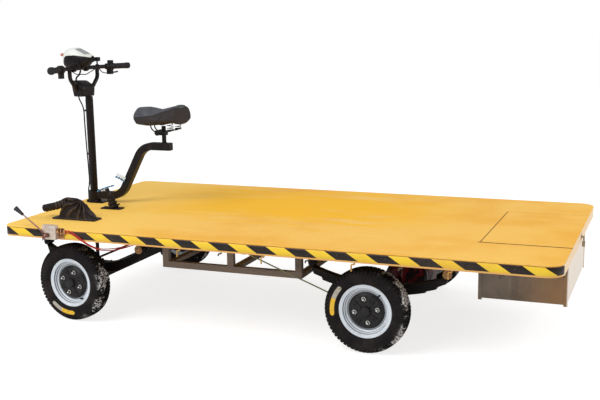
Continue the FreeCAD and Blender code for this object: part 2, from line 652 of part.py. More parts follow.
# ---- seat ---------------------------------------------------------------------------------
def seat_frame():
    """Bent square tube from the column collar up to the seat socket."""
    half, end = seat_tube_half, 897
    path = bent_wire([(column_x, 0, 631), (1275, 0, 631), (1095, 0, 967), (end, 0, 967)], seat_bend)
    section = Part.makePolygon([Vec(column_x, y, 631 + z) for y, z in
                                ((-half + 2, -half), (half - 2, -half), (half - 2, half), (-half + 2, half),
                                 (-half + 2, -half))])
    tube = path.makePipeShell([Part.Wire(section)], True, False)
    tube = tube.cut(upright(column_x, 0, 500, 700, 42))
    return tube.cut(upright(seat_x, 0, 957, 1000, 14))


def seat_post():
    post = upright(seat_x, 0, 957, 1098, 14)
    clamp = rod((seat_x + 34, -30, 1056), (seat_x + 34, 30, 1056), 18)
    return fused([post, clamp, box(seat_x - 20, seat_x + 34, -18, 18, 1040, 1068)])


def saddle():
    """Thick saddle: a loft from the blunt nose over a dished middle to the raised, broad rear."""
    stations = [(1142, 44, 1128, 1184), (1112, 70, 1106, 1211), (1040, 88, 1100, 1211), (955, 100, 1107, 1203),
                (890, 106, 1117, 1212), (832, 108, 1128, 1224), (806, 102, 1134, 1222), (797, 86, 1142, 1206)]
    wires = []
    for x, half, low, high in stations:
        points = [Vec(x, -half, low + 14), Vec(x, -half * 0.6, low), Vec(x, half * 0.6, low), Vec(x, half, low + 14),
                  Vec(x, half * 0.94, high - 26), Vec(x, half * 0.6, high - 3), Vec(x, -half * 0.6, high - 3),
                  Vec(x, -half * 0.94, high - 26)]
        curve = Part.BSplineCurve()
        curve.interpolate(points, PeriodicFlag=True)
        wires.append(Part.Wire([curve.toShape()]))
    return Part.makeLoft(wires, True, True)


def saddle_springs():
    """Bent carrier wires from the post clamp to the nose, and two coil springs under the rear."""
    coil_x, coil_y, coil_z = seat_x - 76, 52, 1078
    wire = pipe([(coil_x, coil_y, coil_z - 4), (seat_x - 10, 24, 1060), (seat_x + 52, 22, 1064),
                 (seat_x + 78, 22, 1116)], 4, 24)
    profile = [(-10, 0), (-10, 22), (0, 22)]
    for k in range(5):
        profile += [(2 + 12 * k, 17), (8 + 12 * k, 24)]
    profile += [(62, 17), (62, 0)]
    side = turned_ring(profile, (coil_x, coil_y, coil_z), UP).fuse(wire)
    return fused([side, mirrored(side), box(seat_x - 14, seat_x + 40, -36, 36, 1058, 1066)])


# ---- controls on the deck -----------------------------------------------------------------
def handbrake():
    """Park brake: a thick grip with finger notches on a bent lever, and the plate that holds the boot's hem."""
    y = brake_y
    lever = pipe([(1200, y, 640), (1262, y, 690), (1330, y, 682), (1376, y, 666), (1494, y, 638)], 21, 50)
    for k in range(4):
        x = 1384 + 25 * k
        notch_z = 634 - 0.235 * (x - 1384)
        lever = lever.cut(rod((x, y - 30, notch_z - 4), (x, y + 30, notch_z - 4), 9))
    base = rounded_plate(1110, 1416, y - 43, y + 43, 12, deck_top, deck_top + 7)
    return lever, base


def handbrake_boot():
    """Leather boot, from the plate up to the bend of the lever."""
    y, foot = brake_y, deck_top + 7
    sections = [(1118, 1386, 38, 0), (1152, 1362, 33, 34), (1188, 1352, 27, 78), (1222, 1346, 25, 108),
                (1250, 1332, 18, 120)]
    return Part.makeLoft([rounded_outline(x0, x1, y - half, y + half, half * 0.8, foot + rise)
                          for x0, x1, half, rise in sections], True, True)


def foot_pedal():
    """Foot switch: plate, ribbed bellows that lean forward, its arm and a small side tread."""
    y = pedal_y
    pieces = [rounded_plate(1158, 1303, y - 33, y + 33, 10, deck_top, deck_top + 6)]
    profile = [(0, 0), (0, 30), (8, 34)]
    for k in range(3):
        profile += [(20 + 22 * k, 25 - 3 * k), (31 + 22 * k, 32 - 4 * k)]
    profile += [(84, 15), (84, 0)]
    bellows = turned_ring(profile, (1218, y, deck_top + 6), (0.36, 0, 1))
    pieces.append(bellows.cut(box(1150, 1300, y - 50, y + 50, deck_top - 40, deck_top + 1)))
    pieces.append(rod((1246, y, 664), (1266, y, 712), 13))
    pieces.append(rod((1190, y - 20, 612), (1190, y + 20, 612), 5).fuse(upright(1190, y, deck_top + 6, 612, 5)))
    return fused(pieces)


def side_lever():
    """Small box on the left band with a bracket and a cable gland behind it, and its bent lever in front."""
    y = half_width
    case = rounded_plate(1198, 1289, y, y + 34, 4, 526, 608)
    bracket = box(1160, 1199, y, y + 6, 530, 590).fuse(box(1186, 1199, y, y + 26, 566, 590))
    gland = box(1150, 1161, y, y + 11, 552, 582)
    arm = pipe([(1256, y + 22, 558), (1306, y + 22, 576), knob_foot], 4, 60)
    return fused([case, bracket, gland, arm])


def side_knob():
    """Black tapered knob pushed on the end of the side lever."""
    way = (knob_foot - Vec(1306, half_width + 22, 576)).normalize()
    foot = knob_foot - way * 12
    knob = Part.makeCone(8, 15, 62, foot, way)
    return knob.cut(Part.makeCylinder(4.02, 12, foot, way))


# ---- cables -------------------------------------------------------------------------------
def park_cables():
    """The two park brake cables, from a clip on each rail to the levers of the rear brakes."""
    web = rail_y + rail_width / 2
    clip = box(170, 194, web, web + 12, 430, 448)
    cable = pipe([(170, web + 6, 439), (-39, 524, 378), (-250, 556, 314), (brake_lever_x, 585, brake_lever_z)], 4,
                 260)
    clear = box(brake_lever_x - 20, brake_lever_x, 570, 600, brake_lever_z - 20, brake_lever_z + 20)
    return both_sides(cable.cut(clear).fuse(clip))


def feed_cables():
    """Two feed wires from the side lever's bracket that sag under the deck and go to a junction block."""
    y = half_width
    wires = [pipe([(1150, y + 5, 571 - 9 * k), (1090, y + 5, 571 - 9 * k), (1020, y + 5, 500 - 9 * k),
                   (940, 730, 464 - 8 * k), (850, 600, 472 - 8 * k), (812, 550, 478 - 8 * k)], 3.5, 30)
             for k in range(2)]
    block = rounded_plate(772, 812, 530, 574, 4, 460, 490)
    hanger = box(782, 802, rail_y + rail_width / 2, 530, 470, 480)
    return fused(wires + [block, hanger])


def column_cable():
    """Control cable down the front of the column, held by its clips, into the collar's foot."""
    x = column_x + cable_ahead
    return pipe([(column_x + 70, 0, 1277), (column_x + 70, 0, 1250), (x, 0, 1188), (x, 0, 700), (x + 16, 0, 664),
                 (x + 30, 0, deck_top + 60), (x + 30, 0, deck_top)], cable_radius, 24)


def bar_leads():
    """Leads between the pod, the top box and the controls on the bar."""
    x = column_x
    main = pipe([(x + 52, 10, 1446), (x + 60, 14, 1420), (x + 74, 30, 1400), (x + 76, 34, 1374)], 5.5, 16)
    sag = pipe([(x + bar_ahead, 112, 1449), (x + 44, 60, 1424), (x + 44, -30, 1418), (x + 30, -96, 1449)], 3, 40)
    far = pipe([(x + 32, -140, 1449), (x + 34, -172, 1424), (x + 22, -206, 1416), (x + 12, -218, 1424)], 3, 14)
    return main, sag, far


# ---- write every piece --------------------------------------------------------------------
os.makedirs("parts", exist_ok=True)
front_seat_z, rear_seat_z = beam_top + 4, axle_z + 30
spring_ends = {"front": (front_axle_x, front_spring_reach, front_seat_z, beam_bottom, 28.0),
               "rear": (rear_axle_x, rear_spring_reach, rear_seat_z, axle_z - 29, 29.0)}
make_wheels()
save("deck_plate", deck_plate())
save("deck_band", deck_band())
save("deck_bearers", deck_bearers())
save("hatch_ledge", hatch_ledge())
save("chassis_rails", chassis_rails())
save("cross_members", cross_members())
save("hatch_lid", hatch_lid())
save("hatch_hinge", hatch_hinge())
save("hatch_latch", hatch_latch())
side_sheets, end_sheets, floor_sheet = rear_box_sheets()
save("box_sides", side_sheets)
save("box_ends", end_sheets)
save("box_floor", floor_sheet)
save("box_angles", box_angles())
save("battery_cradle", battery_cradle())
save("rope_hooks", rope_hooks())
springs, mounts, clamps = [], [], []
for axle_x, reach, seat_z, under, half_beam in spring_ends.values():
    springs += both_sides(leaf_spring(axle_x, reach, seat_z)).Solids
    mounts += both_sides(spring_mount(axle_x + reach, False)).Solids
    mounts += both_sides(spring_mount(axle_x - reach, True)).Solids
    clamps += both_sides(axle_clamp(axle_x, seat_z, under, half_beam)).Solids
save("leaf_springs", Part.makeCompound(springs))
save("spring_mounts", Part.makeCompound(mounts))
save("axle_clamps", Part.makeCompound(clamps))
save("front_axle_beam", front_axle_beam(front_seat_z))
for side_name, side in SIDES.items():
    save(f"knuckle_{side_name}", knuckle(side))
save("rear_axle", rear_axle(rear_seat_z))
save("drive_motor", drive_motor())
save("tie_rod", link_between(arm_end(front_axle_x, kingpin_y, tie_arm_reach),
                             arm_end(front_axle_x, -kingpin_y, tie_arm_reach), tie_rod_z, False))
save("drag_link", link_between(arm_end(column_x, 0, -arm_reach), arm_end(front_axle_x, kingpin_y, -arm_reach),
                               drag_link_z, True))
save("column_housing", column_housing())
save("steering_shaft", steering_shaft())
head_box, pod, controls = top_box(), bar_pod(), bar_controls()
bar = handlebar().cut(head_box)
save("handlebar", bar_turned(bar))
save("top_box", bar_turned(head_box))
save("grips", bar_turned(grips()))
save("bar_controls", bar_turned(controls))
save("bar_unit", bar_turned(bar_unit()))
save("pod_housing", bar_turned(pod[0].cut(bar)))
save("pod_cover", bar_turned(pod[1]))
leads = [lead.cut(bar).cut(head_box).cut(pod[0]).cut(controls) for lead in bar_leads()]
save("bar_leads", bar_turned(Part.makeCompound([solid for lead in leads for solid in lead.Solids])))
save("seat_frame", seat_frame())
post, cushion = seat_post(), saddle()
save("seat_post", post)
save("saddle", cushion)
save("saddle_springs", saddle_springs().cut(post).cut(cushion))
lever, base = handbrake()
boot = handbrake_boot()
save("handbrake", Part.makeCompound([lever.cut(boot), base]))
save("handbrake_boot", boot)
save("foot_pedal", foot_pedal())
save("side_lever", side_lever())
save("side_knob", side_knob())
save("park_cables", park_cables())
save("feed_cables", feed_cables())
save("column_cable", column_cable())
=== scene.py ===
"""Electric platform cart: its looks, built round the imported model. Metres, in the model's own frame."""
import math

import bmesh
import bpy
import numpy as np
from mathutils import Matrix


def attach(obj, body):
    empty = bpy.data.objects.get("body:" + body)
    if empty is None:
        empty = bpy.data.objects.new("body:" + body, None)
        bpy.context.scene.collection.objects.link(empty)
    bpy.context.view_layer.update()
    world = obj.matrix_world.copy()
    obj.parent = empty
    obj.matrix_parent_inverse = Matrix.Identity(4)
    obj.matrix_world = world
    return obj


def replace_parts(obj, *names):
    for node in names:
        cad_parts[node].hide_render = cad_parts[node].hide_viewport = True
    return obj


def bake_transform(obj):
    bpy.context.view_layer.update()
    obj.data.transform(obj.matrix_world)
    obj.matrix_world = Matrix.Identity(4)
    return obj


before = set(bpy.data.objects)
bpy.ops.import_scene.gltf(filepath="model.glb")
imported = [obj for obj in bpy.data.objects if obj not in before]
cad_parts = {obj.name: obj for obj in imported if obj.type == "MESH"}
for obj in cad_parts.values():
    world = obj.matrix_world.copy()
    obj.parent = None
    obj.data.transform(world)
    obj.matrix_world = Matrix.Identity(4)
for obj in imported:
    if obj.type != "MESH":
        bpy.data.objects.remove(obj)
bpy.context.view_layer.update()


# ---- Studio: camera, floor and light -----------------------------------------------------
# A pale studio: a camera at the eye height of someone standing behind and to the left of the cart,
# a plain painted floor that runs into a white background, and two broad soft lamps on stands.
def aimed_camera(place, azimuth, elevation, roll, lens):
    """A camera at place that looks azimuth degrees round from +Y, elevation down, turned by roll."""
    az, el, ro = (math.radians(v) for v in (azimuth, elevation, roll))
    look = np.array([math.sin(az) * math.cos(el), -math.cos(az) * math.cos(el), -math.sin(el)])
    right = np.cross(look, [0, 0, 1.0])
    right /= np.linalg.norm(right)
    up = np.cross(right, look)
    right, up = math.cos(ro) * right + math.sin(ro) * up, math.cos(ro) * up - math.sin(ro) * right
    data = bpy.data.cameras.new("studio_camera")
    data.lens = lens
    data.sensor_width = 36.0
    data.clip_end = 200.0
    camera = bpy.data.objects.new("studio_camera", data)
    turn = np.eye(4)
    turn[:3, :3] = np.stack([right, up, -look], axis=1)
    turn[:3, 3] = place
    camera.matrix_world = Matrix(turn.tolist())
    bpy.context.scene.collection.objects.link(camera)
    bpy.context.scene.camera = camera


aimed_camera(place=(-2.145947, 5.451266, 1.772207), azimuth=21.664, elevation=10.652, roll=-0.978,
             lens=58.788)
bpy.context.scene.view_settings.view_transform = "Standard"


def new_material(name):
    """A material with an empty node tree, the tree and its output node."""
    material = bpy.data.materials.new(name)
    material.use_nodes = True
    tree = material.node_tree
    tree.nodes.clear()
    return material, tree, tree.nodes.new("ShaderNodeOutputMaterial")


def floor_material():
    """White paint for the light that it bounces; seen straight it is nearly all glow, so that only the
    deepest shadow shows."""
    paint_bounced, paint_seen, glow_seen = 0.80, 0.42, 0.78
    material, tree, output = new_material("studio_floor")
    rays = tree.nodes.new("ShaderNodeLightPath")
    paint = tree.nodes.new("ShaderNodeMapRange")
    paint.inputs["To Min"].default_value = paint_bounced
    paint.inputs["To Max"].default_value = paint_seen
    tree.links.new(rays.outputs["Is Camera Ray"], paint.inputs["Value"])
    diffuse = tree.nodes.new("ShaderNodeBsdfDiffuse")
    tree.links.new(paint.outputs["Result"], diffuse.inputs["Color"])
    glow = tree.nodes.new("ShaderNodeEmission")
    glow.inputs["Color"].default_value = (1, 1, 1, 1)
    scale = tree.nodes.new("ShaderNodeMath")
    scale.operation = "MULTIPLY"
    scale.inputs[1].default_value = glow_seen
    tree.links.new(rays.outputs["Is Camera Ray"], scale.inputs[0])
    tree.links.new(scale.outputs[0], glow.inputs["Strength"])
    both = tree.nodes.new("ShaderNodeAddShader")
    tree.links.new(diffuse.outputs[0], both.inputs[0])
    tree.links.new(glow.outputs[0], both.inputs[1])
    tree.links.new(both.outputs[0], output.inputs["Surface"])
    return material


def mesh_piece(name, verts, faces, material, smooth=True):
    """An object at the origin from vertex and face arrays, linked to the scene."""
    mesh = bpy.data.meshes.new(name)
    mesh.from_pydata(np.asarray(verts, float).reshape(-1, 3).tolist(), [], [list(f) for f in faces])
    mesh.polygons.foreach_set("use_smooth", [smooth] * len(mesh.polygons))
    mesh.materials.append(material)
    mesh.update()
    piece = bpy.data.objects.new(name, mesh)
    bpy.context.scene.collection.objects.link(piece)
    return piece


floor_half, floor_z = 60.0, -0.002
floor = mesh_piece("studio_floor", [(-floor_half, -floor_half, floor_z), (floor_half, -floor_half, floor_z),
                                    (floor_half, floor_half, floor_z), (-floor_half, floor_half, floor_z)],
                   [(0, 1, 2, 3)], floor_material(), smooth=False)


def studio_world():
    """Even white light all round, plain white where it is seen straight, and dimmer in mirrored looks, as
    a studio's dark corners are."""
    world = bpy.data.worlds.new("studio_air")
    bpy.context.scene.world = world
    world.use_nodes = True
    tree = world.node_tree
    tree.nodes.clear()
    output = tree.nodes.new("ShaderNodeOutputWorld")
    rays = tree.nodes.new("ShaderNodeLightPath")
    before = None
    for ray, strength in (("", 0.55), ("Is Glossy Ray", 0.32), ("Is Camera Ray", 1.0)):
        air = tree.nodes.new("ShaderNodeBackground")
        air.inputs["Color"].default_value = (1, 1, 1, 1)
        air.inputs["Strength"].default_value = strength
        if before is None:
            before = air.outputs[0]
            continue
        mix = tree.nodes.new("ShaderNodeMixShader")
        tree.links.new(rays.outputs[ray], mix.inputs[0])
        tree.links.new(before, mix.inputs[1])
        tree.links.new(air.outputs[0], mix.inputs[2])
        before = mix.outputs[0]
    tree.links.new(before, output.inputs["Surface"])


studio_world()


def soft_lamp(name, place, target, size, watts):
    """A square area lamp that faces its target."""
    data = bpy.data.lights.new(name, "AREA")
    data.size, data.energy = size, watts
    lamp = bpy.data.objects.new(name, data)
    way = np.array(target, float) - np.array(place, float)
    way /= np.linalg.norm(way)
    side = np.cross(way, [0, 0, 1.0])
    side /= np.linalg.norm(side)
    turn = np.eye(4)
    turn[:3, :3] = np.stack([side, np.cross(side, way), -way], axis=1)
    turn[:3, 3] = place
    lamp.matrix_world = Matrix(turn.tolist())
    bpy.context.scene.collection.objects.link(lamp)


soft_lamp("key_lamp", (3.0, 5.6, 6.5), (0.3, 0, 0.4), size=5.0, watts=410)
soft_lamp("fill_lamp", (-7.0, -1.5, 4.5), (-1, 0, 0.4), size=3.5, watts=230)


# ---- Chassis: rails, cross members and deck bearers ----------------------------------------
# Two pressed steel channels run the length of the cart, joined by square cross members, with
# seven tubes across under the deck sheet. All welded, then brushed with primer and black paint.
def tint(red, green, blue):
    """The linear colour that shows as this 0 to 255 colour."""
    share = np.array([red, green, blue]) / 255.0
    return tuple(np.where(share <= 0.04045, share / 12.92, ((share + 0.055) / 1.055) ** 2.4)) + (1.0,)


def noise_field(tree, where, scale, detail=4.0, rough=0.55):
    """Fractal noise from 0 to 1 over the given coordinates."""
    noise = tree.nodes.new("ShaderNodeTexNoise")
    noise.inputs["Scale"].default_value = scale
    noise.inputs["Detail"].default_value = detail
    noise.inputs["Roughness"].default_value = rough
    tree.links.new(where, noise.inputs["Vector"])
    return noise.outputs["Fac"]


def step_between(tree, value, low, high, to_low=0.0, to_high=1.0):
    """value moved smoothly from low..high to to_low..to_high, and held at both ends."""
    node = tree.nodes.new("ShaderNodeMapRange")
    node.interpolation_type = "SMOOTHSTEP"
    for socket, number in zip(("From Min", "From Max", "To Min", "To Max"), (low, high, to_low, to_high)):
        node.inputs[socket].default_value = number
    tree.links.new(value, node.inputs["Value"])
    return node.outputs["Result"]


def blend_colours(tree, share, first, second):
    """A colour that goes from first to second with share; each is a colour or a socket."""
    mix = tree.nodes.new("ShaderNodeMix")
    mix.data_type = "RGBA"
    tree.links.new(share, mix.inputs["Factor"])
    for socket, colour in ((mix.inputs[6], first), (mix.inputs[7], second)):
        if isinstance(colour, tuple):
            socket.default_value = colour
        else:
            tree.links.new(colour, socket)
    return mix.outputs[2]


def fading(tree, value, low, high, first, second, start=0.0, end=1.0):
    """A colour that goes from first towards second while value goes from low to high: its share of second
    is start below low and end above high."""
    return blend_colours(tree, step_between(tree, value, low, high, start, end), first, second)


def maths(tree, operation, first, second=None):
    """One arithmetic step on sockets or numbers."""
    node = tree.nodes.new("ShaderNodeMath")
    node.operation = operation
    for socket, value in zip(node.inputs, (first, second)):
        if isinstance(value, (int, float)):
            socket.default_value = value
        elif value is not None:
            tree.links.new(value, socket)
    return node.outputs[0]


def object_place(tree, stretch=(1.0, 1.0, 1.0), shift=(0.0, 0.0, 0.0)):
    """Object coordinates, moved and stretched so that a pattern can run in streaks."""
    place = tree.nodes.new("ShaderNodeMapping")
    place.inputs["Scale"].default_value = stretch
    place.inputs["Location"].default_value = shift
    tree.links.new(tree.nodes.new("ShaderNodeTexCoord").outputs["Object"], place.inputs["Vector"])
    return place.outputs["Vector"]


def finish_surface(tree, output, colour, rough, grain, relief, metal=0.0, gloss=0.5):
    """Joins colour, roughness and a fine relief to one surface shader."""
    shader = tree.nodes.new("ShaderNodeBsdfPrincipled")
    tree.links.new(colour, shader.inputs["Base Color"])
    tree.links.new(rough, shader.inputs["Roughness"])
    shader.inputs["Metallic"].default_value = metal
    shader.inputs["Specular IOR Level"].default_value = gloss
    bump = tree.nodes.new("ShaderNodeBump")
    bump.inputs["Strength"].default_value = relief
    bump.inputs["Distance"].default_value = 0.001
    tree.links.new(grain, bump.inputs["Height"])
    tree.links.new(bump.outputs["Normal"], shader.inputs["Normal"])
    tree.links.new(shader.outputs[0], output.inputs["Surface"])


def worn_paint(name, fresh, worn, patch=5.0, cover=(0.45, 0.7), grain=320.0, rough=(0.4, 0.62), relief=0.25,
               metal=0.0, gloss=0.5, stretch=(1.0, 1.0, 1.0)):
    """A coat with cloudy patches of a second tone, small specks and a fine grain."""
    material, tree, output = new_material(name)
    where = object_place(tree, stretch)
    clouds = noise_field(tree, where, patch, 5.0)
    fine = noise_field(tree, where, grain, 2.0)
    specks = noise_field(tree, where, patch * 22.0, 3.0, 0.7)
    share = maths(tree, "ADD", step_between(tree, clouds, *cover),
                  step_between(tree, specks, 0.64, 0.72, 0.0, 0.5))
    colour = blend_colours(tree, maths(tree, "MINIMUM", share, 1.0), fresh, worn)
    roughness = step_between(tree, specks, 0.3, 0.7, *rough)
    height = maths(tree, "ADD", fine, maths(tree, "MULTIPLY", specks, 1.4))
    finish_surface(tree, output, colour, roughness, height, relief, metal, gloss)
    return material


def dress(material, *nodes):
    """Gives the model's own pieces their coat."""
    for node in nodes:
        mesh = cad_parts[node].data
        mesh.materials.clear()
        mesh.materials.append(material)


frame_black = worn_paint("frame_black_paint", tint(30, 26, 26), tint(66, 56, 50), patch=6.0,
                         cover=(0.5, 0.8), rough=(0.35, 0.6), gloss=0.2)
taupe_primer = worn_paint("taupe_primer", tint(138, 120, 106), tint(108, 93, 82), patch=3.5,
                          cover=(0.42, 0.75), grain=260.0, rough=(0.5, 0.75), stretch=(0.5, 1.0, 2.2))
dress(frame_black, "chassis_rails", "cross_members")
dress(worn_paint("bearer_primer", tint(92, 82, 76), tint(64, 56, 52), patch=4.0, rough=(0.55, 0.8)),
      "deck_bearers", "hatch_ledge")


# ---- Battery cradle -------------------------------------------------------------------------
# An open frame of steel angle hung under the rails, for the batteries. Welded, in taupe primer.
dress(taupe_primer, "battery_cradle")


# ---- Springs, axles and brakes ---------------------------------------------------------------
# Flat spring steel leaves held by U-bolts on a forged front beam and a live rear axle, which
# carries the motor behind its gear case. The eyes turn in bronze-coloured bushes.
def grid_faces(rows, columns, wrap_rows=False, wrap_columns=False):
    """Quads over a grid of rows by columns of points, closed round where asked."""
    across = np.arange(columns if wrap_columns else columns - 1)
    down = np.arange(rows if wrap_rows else rows - 1)
    j, i = np.meshgrid(across, down)
    next_i, next_j = (i + 1) % rows, (j + 1) % columns
    corners = [i * columns + j, i * columns + next_j, next_i * columns + next_j, next_i * columns + j]
    return np.stack(corners, axis=-1).reshape(-1, 4)


def turned_surface(profile, centre, axis, count=48, closed=False):
    """A profile of (along, radius) points carried round an axis: each point is the centre plus along
    times the axis plus radius times a unit vector that turns about it."""
    profile = np.array(profile, float)
    axis = np.array(axis, float) / np.linalg.norm(axis)
    first = np.cross(axis, [0, 0, 1.0] if abs(axis[2]) < 0.9 else [1.0, 0, 0])
    first /= np.linalg.norm(first)
    second = np.cross(axis, first)
    angle = np.linspace(0, 2 * math.pi, count, endpoint=False)
    ring = np.cos(angle)[:, None] * first + np.sin(angle)[:, None] * second
    points = (np.array(centre, float) + profile[:, 0, None, None] * axis
              + profile[:, 1, None, None] * ring[None])
    return points.reshape(-1, 3), grid_faces(len(profile), count, closed, True)


def joined(parts):
    """Several (points, faces) surfaces as one."""
    points, faces, start = [], [], 0
    for part_points, part_faces in parts:
        points.append(np.asarray(part_points, float))
        faces += [[int(k) + start for k in face] for face in part_faces]
        start += len(part_points)
    return np.concatenate(points), faces


def sided(parts):
    """The parts and their mirror images on the other side of the cart, faces turned to match."""
    points, faces = joined(parts)
    return joined([(points, faces), (points * [1, -1, 1], [face[::-1] for face in faces])])


def soften(piece, angle=40.0):
    """Rounds the shading, except at edges sharper than the angle."""
    piece.data.shade_smooth()
    edge = piece.modifiers.new("crisp_edges", "EDGE_SPLIT")
    edge.split_angle = math.radians(angle)
    return piece


spring_black = worn_paint("spring_steel_black", tint(26, 22, 22), tint(70, 58, 52), patch=14.0,
                          cover=(0.55, 0.8), rough=(0.4, 0.65), gloss=0.2, stretch=(0.4, 1.0, 2.0))
oxide_red = worn_paint("oxide_red_paint", tint(112, 16, 22), tint(34, 14, 16), patch=14.0,
                       cover=(0.4, 0.62), rough=(0.3, 0.5), gloss=0.3)
motor_black = worn_paint("motor_black", tint(26, 16, 18), tint(112, 18, 24), patch=18.0, cover=(0.47, 0.58),
                         rough=(0.3, 0.5), gloss=0.25)
dress(spring_black, "leaf_springs", "spring_mounts", "axle_clamps")
dress(frame_black, "front_axle_beam", "knuckle_left", "knuckle_right")
dress(oxide_red, "rear_axle")
dress(motor_black, "drive_motor")
dress(worn_paint("link_zinc", tint(120, 116, 110), tint(84, 78, 72), patch=20.0, metal=0.7,
                 rough=(0.3, 0.5)), "tie_rod", "drag_link")

# The motor's end cover: a red dished plate with a bearing boss, ringed by bolt heads, with two lead glands.
motor_end = np.array([-0.742, 0.014, 0.293])
cover_parts = [turned_surface([(0.0, 0.0705), (0.004, 0.0705), (0.007, 0.066), (0.007, 0.058),
                               (0.004, 0.054), (0.004, 0.034), (0.011, 0.030), (0.014, 0.026),
                               (0.014, 0.013), (0.009, 0.011), (0.009, 0.0)], motor_end, (0, 1, 0), 48)]
gland_profile = [(0.0, 0.0), (0.0, 0.011), (0.012, 0.011), (0.014, 0.008), (0.024, 0.007), (0.026, 0.005),
                 (0.026, 0.0)]
for back, below in ((0.052, 0.0124), (0.066, 0.0088)):
    cover_parts.append(turned_surface(gland_profile, motor_end - [back, 0.0, below], (0, 1, 0), 20))
motor_cover = mesh_piece("motor_end_cover", *joined(cover_parts), oxide_red)
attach(soften(motor_cover, 35.0), "chassis")
head_profile = [(0.0068, 0.0), (0.0068, 0.0075), (0.0118, 0.0075), (0.0128, 0.0064), (0.0128, 0.0)]
bolt_heads, bolt_circle = [], 0.0620
for angle in np.radians(np.arange(20, 380, 60)):
    place = motor_end + [bolt_circle * math.cos(angle), 0.0, bolt_circle * math.sin(angle)]
    bolt_heads.append(turned_surface(head_profile, place, (0, 1, 0), 6))
cover_bolts = mesh_piece("motor_cover_bolts", *joined(bolt_heads),
                         worn_paint("bolt_dull_zinc", tint(120, 104, 96), tint(70, 40, 38), patch=60.0,
                                    metal=0.4))
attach(soften(cover_bolts, 25.0), "chassis")

bush_gold = worn_paint("bush_bronze", tint(206, 160, 108), tint(150, 104, 66), patch=30.0,
                       cover=(0.4, 0.65), metal=0.35, rough=(0.35, 0.6))
bush_profile = [(0.0, 0.0), (0.0, 0.004), (0.0, 0.0245), (0.0012, 0.026), (0.0048, 0.026), (0.006, 0.0245),
                (0.006, 0.017), (0.0085, 0.0165), (0.0095, 0.015), (0.0095, 0.0)]
bushes = [turned_surface(bush_profile, (eye_x, 0.4895, 0.409), (0, 1, 0), 40) for eye_x in (0.873, -1.009)]
bush_discs = mesh_piece("spring_eye_bushes", *sided(bushes), bush_gold)
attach(soften(bush_discs), "chassis")


# ---- Wheels ---------------------------------------------------------------------------------
# Four 4.00-10 tyres of small blocks on pressed silver rims, with a cast black hub in each,
# held by four bright nuts. The front pair stands turned a few degrees.
front_axle_x, rear_axle_x, axle_height = 1.206, -0.620, 0.231
kingpin_out, stub_length, rear_wheel_out, steered_by = 0.545, 0.119, 0.664, math.radians(5.0)


def wheel_stands():
    """Name, centre, forward and outward unit vectors of each wheel, and 1 or -1 for its side."""
    stands = []
    for side_name, side in (("left", 1), ("right", -1)):
        forward = np.array([math.cos(steered_by), -math.sin(steered_by), 0])
        outward = side * np.array([math.sin(steered_by), math.cos(steered_by), 0])
        centre = np.array([front_axle_x, side * kingpin_out, axle_height]) + outward * stub_length
        stands.append(("front_" + side_name, centre, forward, outward, side))
        stands.append(("rear_" + side_name, np.array([rear_axle_x, side * rear_wheel_out, axle_height]),
                       np.array([1.0, 0, 0]), np.array([0, float(side), 0]), side))
    return stands


def at_wheel(stand, points, faces):
    """Points of (forward, outward, up) from the wheel's centre, put in place, faces turned on the right."""
    centre, forward, outward, side = stand[1:]
    points = np.asarray(points, float)
    placed = centre + points[:, :1] * forward + points[:, 1:2] * outward + points[:, 2:] * [0, 0, 1.0]
    return placed, [list(face)[::side] for face in faces]


